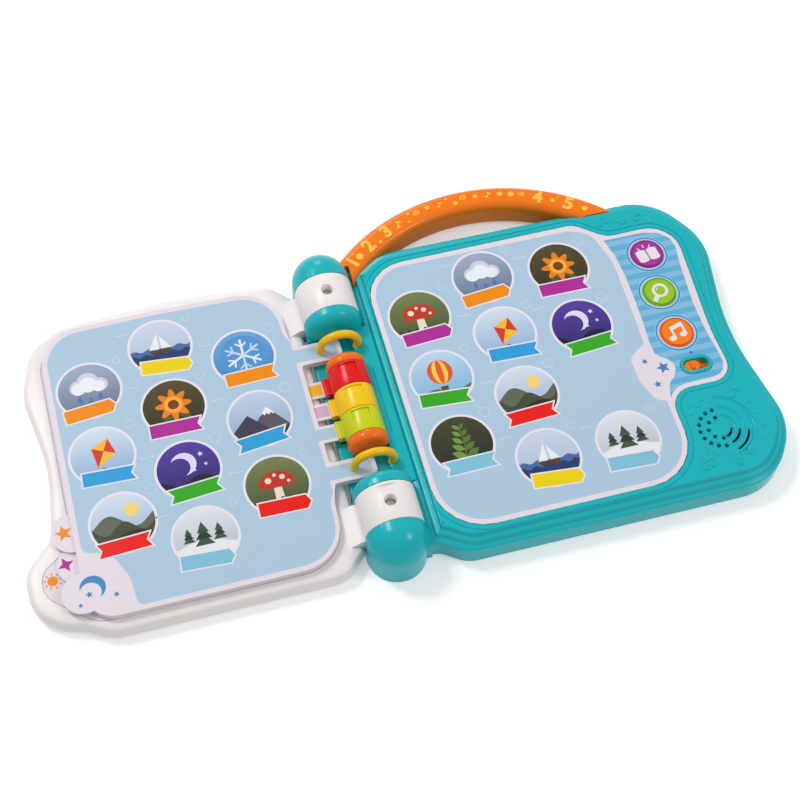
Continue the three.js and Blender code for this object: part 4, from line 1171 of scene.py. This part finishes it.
def ribbon(x, y, length, width, turn, kind):
    """A bare banner: both ends are notched (kind 0), or the right one is pointed (1) or notched (2)."""
    a, b = length / 2, width / 2
    if kind == 0:
        corners = [(-a, -b), (a, -b), (a - 2.6, 0), (a, b), (-a, b), (-a + 2.4, 0)]
    elif kind == 1:
        corners = [(-a, -b), (a - 2.6, -b), (a, 0), (a - 2.6, b), (-a, b)]
    else:
        corners = [(-a, -b), (a, -b), (a - 2.4, 0), (a, b), (-a, b)]
    return spun(np.array(corners), turn, x, y)


def medallion(x, y, number, flip=1):
    """A round picture in a white ring with a bare ribbon across its foot."""
    draw, sky_tones, tones = PICTURES[number % len(PICTURES)]
    shapes = [(circle(x, y, PICTURE_RING, 72), INKS["white"], 2), (circle(x, y, PICTURE_R, 72), sky_tones, 3)]
    shapes += [(outline * [flip, 1] + [x, y], tone, 4 + k) for k, (outline, tone) in enumerate(draw(tones))]
    top = len(shapes) + 3
    banner = ribbon(x + flip * 1.5, y - RIBBON_DROP, *RIBBON, (number * 5) % 13 - 5, number % 3)
    shapes.append((grown(banner, 0.9), INKS["white"], top))
    shapes.append((banner, INKS[RIBBONS[(number * 3) % 7]], top + 1))
    return shapes


def print_page(name, body, field, extras, spots, first, ground, z, up=1):
    """Lays the whole print of one side: the field, rings and ripples, and a medallion on each spot."""
    shapes = [(field, ground, 1)]
    pale = tuple(min(255, v + 22) for v in ground)
    for k, (x, y) in enumerate(spots):
        if x + 23 < field[:, 0].max():
            shapes.append((hoop(x + 19, y + 17, 2.2 + k % 3 / 2, 0.4), pale, 2))
        if x - 26 > field[:, 0].min():
            shapes.append((ripple(x - 25, y + 18 - k % 2 * 5, 8), pale, 2))
    for k, (x, y) in enumerate(spots, first):
        shapes += medallion(x, y, k, 1 if k % 2 else -1)
    thing = printed(name, shapes + extras, z, up)
    dress(thing, ink_material)
    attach(thing, body)
    return thing


LEFT_SPOTS = [(-150, 50), (-150, 5), (-146, -40), (-104, 70), (-104, 27), (-104, -16), (-103, -60),
              (-57, 51), (-57, 7), (-57, -38)]
PAGE_GROUNDS = {"one": (244, 186, 40), "two": (215, 176, 212), "three": SKY_BLUE}
MOON_BLUE = (60, 140, 196)
SUN_SPOT = (-189.8, -63.5)
sun_rays = [spun(np.array([(-0.7, 3.7), (0.7, 3.7), (0, 5.8)]), 40 * k, *SUN_SPOT) for k in range(9)]
TAB_MARKS = [
    [(star(-181.2, -56.2, 4.8, 20, 4, 0.42), INKS["purple"], 2)],
    [(star(-179.2, -37.6, 5.2, 10), INKS["orange"], 2)],
    [(shape, MOON_BLUE, 2) for shape in (crescent(-169, -75, 7.2, 60), star(-171.4, -78.6, 2.2, 10),
                                         star(-157, -82, 1.9, 30), star(-177, -84, 1.6))],
    [(shape, INKS["orange"], 2) for shape in [circle(*SUN_SPOT, 3.0)] + sun_rays],
]


def tongue_field(root, end, low, high, radius):
    """The coloured field of one tongue of a page, rounded at its end."""
    return fillet([(root, low, 0), (end, low, radius), (end, high, radius), (root, high, 0)], 10)


page_field = fillet([
    (-146.6, -PAGE_HALF + 2.4, 4), (-32, -PAGE_HALF + 3, 23), (-30.4, -57, 20), (-27.4, -50, 2),
    (-27.6, 54, 2), (-30.6, 60, 20), (-32.6, PAGE_HALF - 2.6, 23), (-102, PAGE_HALF - 0.5, 300),
    (PAGE_LEFT + 3.2, PAGE_HALF - 2.2, 22), (PAGE_LEFT + 3.2, -53, 5), (-156, -57, 12), (-148, -74, 12)], 4)
for index, (name, ground) in enumerate(PAGE_GROUNDS.items()):
    low = page_low(index)
    from_y, to_y = lever_range(index)
    tongues = [tongue_field(-29, -1.4, y - 4.4, y + 4.4, 3) for y in RING_Y.values()]
    tongues.append(tongue_field(-29, TONGUE_END - 3.4, from_y + 2, to_y - 2, 0.5))
    extras = [(tongue, ground, 2) for tongue in tongues] + TAB_MARKS[index]
    for side, z, up in (("top", low + PAGE, 1), ("under", low, -1)):
        thing = print_page(f"leaf_{name}_print_{side}", f"leaf_{name}", page_field, extras, LEFT_SPOTS,
                           index * 5 + (side == "under") * 3, ground, z, up)

# Printed sheet inside the cover and the printed touch sheet on the sound box, let into their recesses.
# The touch sheet has a striped strip for the buttons and a paler tab beside the switch.
SHEET_TOP = 20.7
STRIPES = ((98, 178, 218), (136, 190, 224))
STRIPE = 3.9
STRIP_LOW = -41.5
STRIP_HIGH = 77.2
RIGHT_SPOTS = [(52, 50), (53, 5), (52, -41), (98, 69), (99, 26), (99, -18), (98, -62), (146, 64), (146, 20),
               (147, -62)]
BUTTON_HOOPS = [(0.65, 1.5, (176, 216, 240)), (1.5, 2.4, (40, 132, 202)), (2.4, 2.9, (150, 204, 234))]
SHEET_STARS = [(184, -20.6, 4.4, 12), (174.6, -14, 2.2, 30), (176.8, -31, 2.6, 0)]
STRIP_LEFT = [
    (174, 95), (179.7, 78.7), (183.3, 64.3), (184.4, 47.2), (184, 29.5), (183.3, 12.3), (182, -2.2),
    (182.5, -10.3), (185, -13.2), (188.4, -15.4), (191.1, -19.4), (191, -23.6), (188, -28.4),
    (184.6, -31.4), (182.8, -34.8), (181.2, -41.5),
]
STRIP_RIGHT = [
    (181.4, -41.5), (183.2, -39), (185.6, -37), (189, -35.2), (195, -34.25), (210, -34.2), (214.8, -33.4),
    (218.4, -30.8), (220.6, -26), (220.6, -20), (218.6, -2), (218.3, 20), (221, 50), (222.8, 62), (221.4, 69),
    (216, 74.6), (206, 77.2),
]

sheet_body = nodes["base_printed_sheet"]
cover_sheet = nodes["cover_printed_sheet"]
dress(sheet_body, board)
dress(cover_sheet, board)
field = fillet([
    (29.6, -91.4, 27), (177.8, -91.2, 27), (178, -42.4, 2), (172.4, -42, 6), (167, -27, 14), (166.6, -9.6, 7),
    (178.6, -1.6, 2), (179.6, 26, 60), (180.4, 60, 40), (173.6, 85, 14), (160, 89.6, 10), (29.6, 88.8, 23),
], 4)
holes = [(x, y, BUTTON_R + 0.6, 0) for x, y in BUTTONS.values()]
holes.append((*SWITCH, SWITCH_WIDTH / 2 + CLEAR, (SWITCH_LENGTH - SWITCH_WIDTH) / 2))


def strip_band(low, high):
    """A stripe between two heights: it runs from the divider to the strip's right edge, and where a round
    hole crosses it, it is two bands that stop at the hole."""
    hole = min(holes, key=lambda h: abs(h[1] - (low + high) / 2))
    levels = np.r_[np.linspace(low, high, 17), hole[1] - hole[2], hole[1] + hole[2]]
    y = np.unique(levels.clip(low, high))
    left = np.interp(y, *np.array(STRIP_LEFT)[::-1, ::-1].T)
    right = np.interp(y, *np.array(STRIP_RIGHT)[:, ::-1].T)
    gap = np.sqrt((hole[2] ** 2 - (y - hole[1]) ** 2).clip(0))
    if gap.max() == 0:
        return [np.concatenate([np.c_[left, y], np.c_[right, y][::-1]])]
    half = np.where(abs(y - hole[1]) < hole[2], gap + hole[3], 0)
    return [np.concatenate([np.c_[left, y], np.c_[hole[0] - half, y][::-1]]),
            np.concatenate([np.c_[hole[0] + half, y], np.c_[right, y][::-1]])]


extras = []
for k, low in enumerate(np.arange(STRIP_LOW, STRIP_HIGH, STRIPE)):
    extras += [(band, STRIPES[k % 2], 1) for band in strip_band(low, min(low + STRIPE, STRIP_HIGH))]
for x, y in BUTTONS.values():
    extras += [(hoop(x, y, BUTTON_R + (near + far) / 2, far - near), colour, 2)
               for near, far, colour in BUTTON_HOOPS]
extras += [(star(*spot), (70, 130, 190), 2) for spot in SHEET_STARS]
extras.append((circle(SWITCH[0], SWITCH[1] + 8.7, 0.9, 24), (40, 110, 180), 2))
thing = print_page("touch_sheet_print", "base", field, extras, RIGHT_SPOTS, 7, SKY_BLUE, SHEET_TOP)
cover_field = fillet([
    (-146.6, -91, 4), (-33, -91, 23), (-31.4, -60, 14), (-31.4, 60, 14), (-33, 91, 23), (-102, 93, 300),
    (-171.6, 91, 22), (-171.6, -53, 5), (-156, -57, 12), (-148, -74, 12)], 4)
thing = print_page("cover_sheet_print", "cover", cover_field, TAB_MARKS[3], LEFT_SPOTS, 4,
                   (160, 205, 130), COVER - 0.1)

# Mode buttons: three round plastic caps with a rounded edge, a dished top and a flange under the shell that
# keeps them in. A white figure and a darker rim are printed in the dish.
BUTTON_TOP = 21.9
BUTTON_COLOURS = {"pages": (172, 48, 156), "search": (150, 200, 16), "music": (255, 128, 0)}
BUTTON_RIMS = {"pages": (136, 30, 128), "search": (60, 164, 40), "music": (226, 78, 4)}
BUTTON_LEVELS = [
    (2, ROOM_TOP - 1.5), (2, ROOM_TOP - 0.4), (0, ROOM_TOP - 0.3), (0, BUTTON_TOP - 0.7),
    (-0.3, BUTTON_TOP - 0.2), (-0.9, BUTTON_TOP), (-1.5, BUTTON_TOP - 0.2), (-2.4, BUTTON_TOP - 0.3),
]
for name, (x, y) in BUTTONS.items():
    button = stacked(f"button_cap_{name}", circle(x, y, BUTTON_R, 96), BUTTON_LEVELS, 50)
    dress(button, moulded(f"button_{name}_plastic", BUTTON_COLOURS[name], 0.25, bump=0.02))
    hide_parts(f"mode_button_{name}")
    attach(button, f"button_{name}")


def open_book(x, y):
    """Two leaves of an open book, each a sheared field with a curved foot, and rays over them."""
    t = np.linspace(0, 1, 12)
    leaf = np.concatenate([np.c_[0.4 + 6.6 * t, -4.2 - 0.9 * np.sin(np.pi * t)],
                           np.c_[7.0 - 6.6 * t, 3.4 + 0.9 * np.sin(np.pi * (1 - t))]])
    rays = [spun(bar(0.35, 5.4, 7.6), turn) for turn in (-35, 0, 35)]
    return [spun(shape, 8, x, y - 0.6) for shape in [leaf, leaf * [-1, 1]] + rays]


def magnifier(x, y):
    """A round lens rim with a handle."""
    grip = spun(fillet([(-1.4, -9.2, 0.8), (1.4, -9.2, 0.8), (1.4, -3.6, 0), (-1.4, -3.6, 0)], 15), -38)
    return [hoop(x + 0.6, y + 0.8, 4.2, 1.7), grip + [x + 0.6, y + 0.8],
            arc_band(x + 0.6, y + 0.8, 2.2, 0.5, 110, 165, 12)]


BUTTON_MARKS = {
    "pages": open_book(*BUTTONS["pages"]), "search": magnifier(*BUTTONS["search"]),
    "music": [double_note(BUTTONS["music"][0] - 3.8, BUTTONS["music"][1] - 3.8, 3.9, 8)],
}
for name, shapes in BUTTON_MARKS.items():
    x, y = BUTTONS[name]
    layers = [(hoop(x, y, BUTTON_R - 0.75, 0.8), BUTTON_RIMS[name], 40)]
    layers += [(shape, INKS["white"], 6 + k) for k, shape in enumerate(shapes)]
    mark = printed(f"button_mark_{name}", layers, BUTTON_TOP - 0.32)
    dress(mark, ink_material)
    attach(mark, f"button_{name}")

# Language knob: an orange plastic slider with a ridge for the finger. Its wide plate lies under the shell
# and hides the mouth while the knob moves.
KNOB_AWAY = 2.5
KNOB_SIZE = (9.6, 7)
KNOB_RIDGE = [(-1.2, -1, 0), (1.2, -1, 0), (0.6, 0.9, 0.5), (-0.6, 0.9, 0.5)]
PLATE_HALF = (10.4, 5.4)
knob_x = SWITCH[0] - KNOB_AWAY
knob = stacked("language_slider", stadium(knob_x, SWITCH[1], *KNOB_SIZE),
               [(0, ROOM_TOP - 1), (0, BASE_TOP - 0.9), (-0.3, BASE_TOP - 0.6)])
ridge = prism_y("ridge", fillet([(knob_x + x, BASE_TOP + z, radius) for x, z, radius in KNOB_RIDGE], 15),
                SWITCH[1] - 2.6, SWITCH[1] + 2.6)
plate = slab("slider_plate", knob_x - PLATE_HALF[0], knob_x + PLATE_HALF[0], SWITCH[1] - PLATE_HALF[1],
             SWITCH[1] + PLATE_HALF[1], ROOM_TOP - 1.5, ROOM_TOP - 0.3)
carve(knob, [ridge, plate], "UNION")
dress(knob, moulded("slider_plastic", (252, 124, 4), 0.28, bump=0.02))
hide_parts("language_knob")
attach(knob, "knob")

# Inside and underneath: steel pins, screws and contacts, a green board, wrapped cells, the speaker and the
# plastic bottom plate with its battery door. They are the CAD nodes themselves, each with its finish.
steel = moulded("bright_steel", (186, 188, 192), 0.28, 0.1, 2400.0, 0.04, metallic=1.0, specular=0.5)
dark_plastic = moulded("dark_plastic", (40, 40, 44), 0.45, bump=0.06)
board_green = moulded("circuit_green", (30, 104, 56), 0.4, bump=0.03)
cell_wrap = moulded("cell_wrap", (52, 54, 60), 0.3, bump=0.01, metallic=0.3, specular=0.5)
film_clear = moulded("touch_film_sheet", (214, 206, 182), 0.35, bump=0.01)
INNER = [
    (teal_plastic, ("base_bottom_plate", "battery_door")), (film_clear, ("touch_film",)),
    (board_green, ("circuit_board",)), (dark_plastic, ("speaker_driver", "button_switch_")),
    (cell_wrap, ("battery_cell_",)),
    (steel, ("speaker_magnet", "language_switch", "battery_door_screw", "case_screw", "knuckle_screw",
             "hinge_pin", "roller_spindle", "battery_contact")),
]
for material, starts in INNER:
    for name, node in nodes.items():
        if name.startswith(starts):
            dress(node, material)
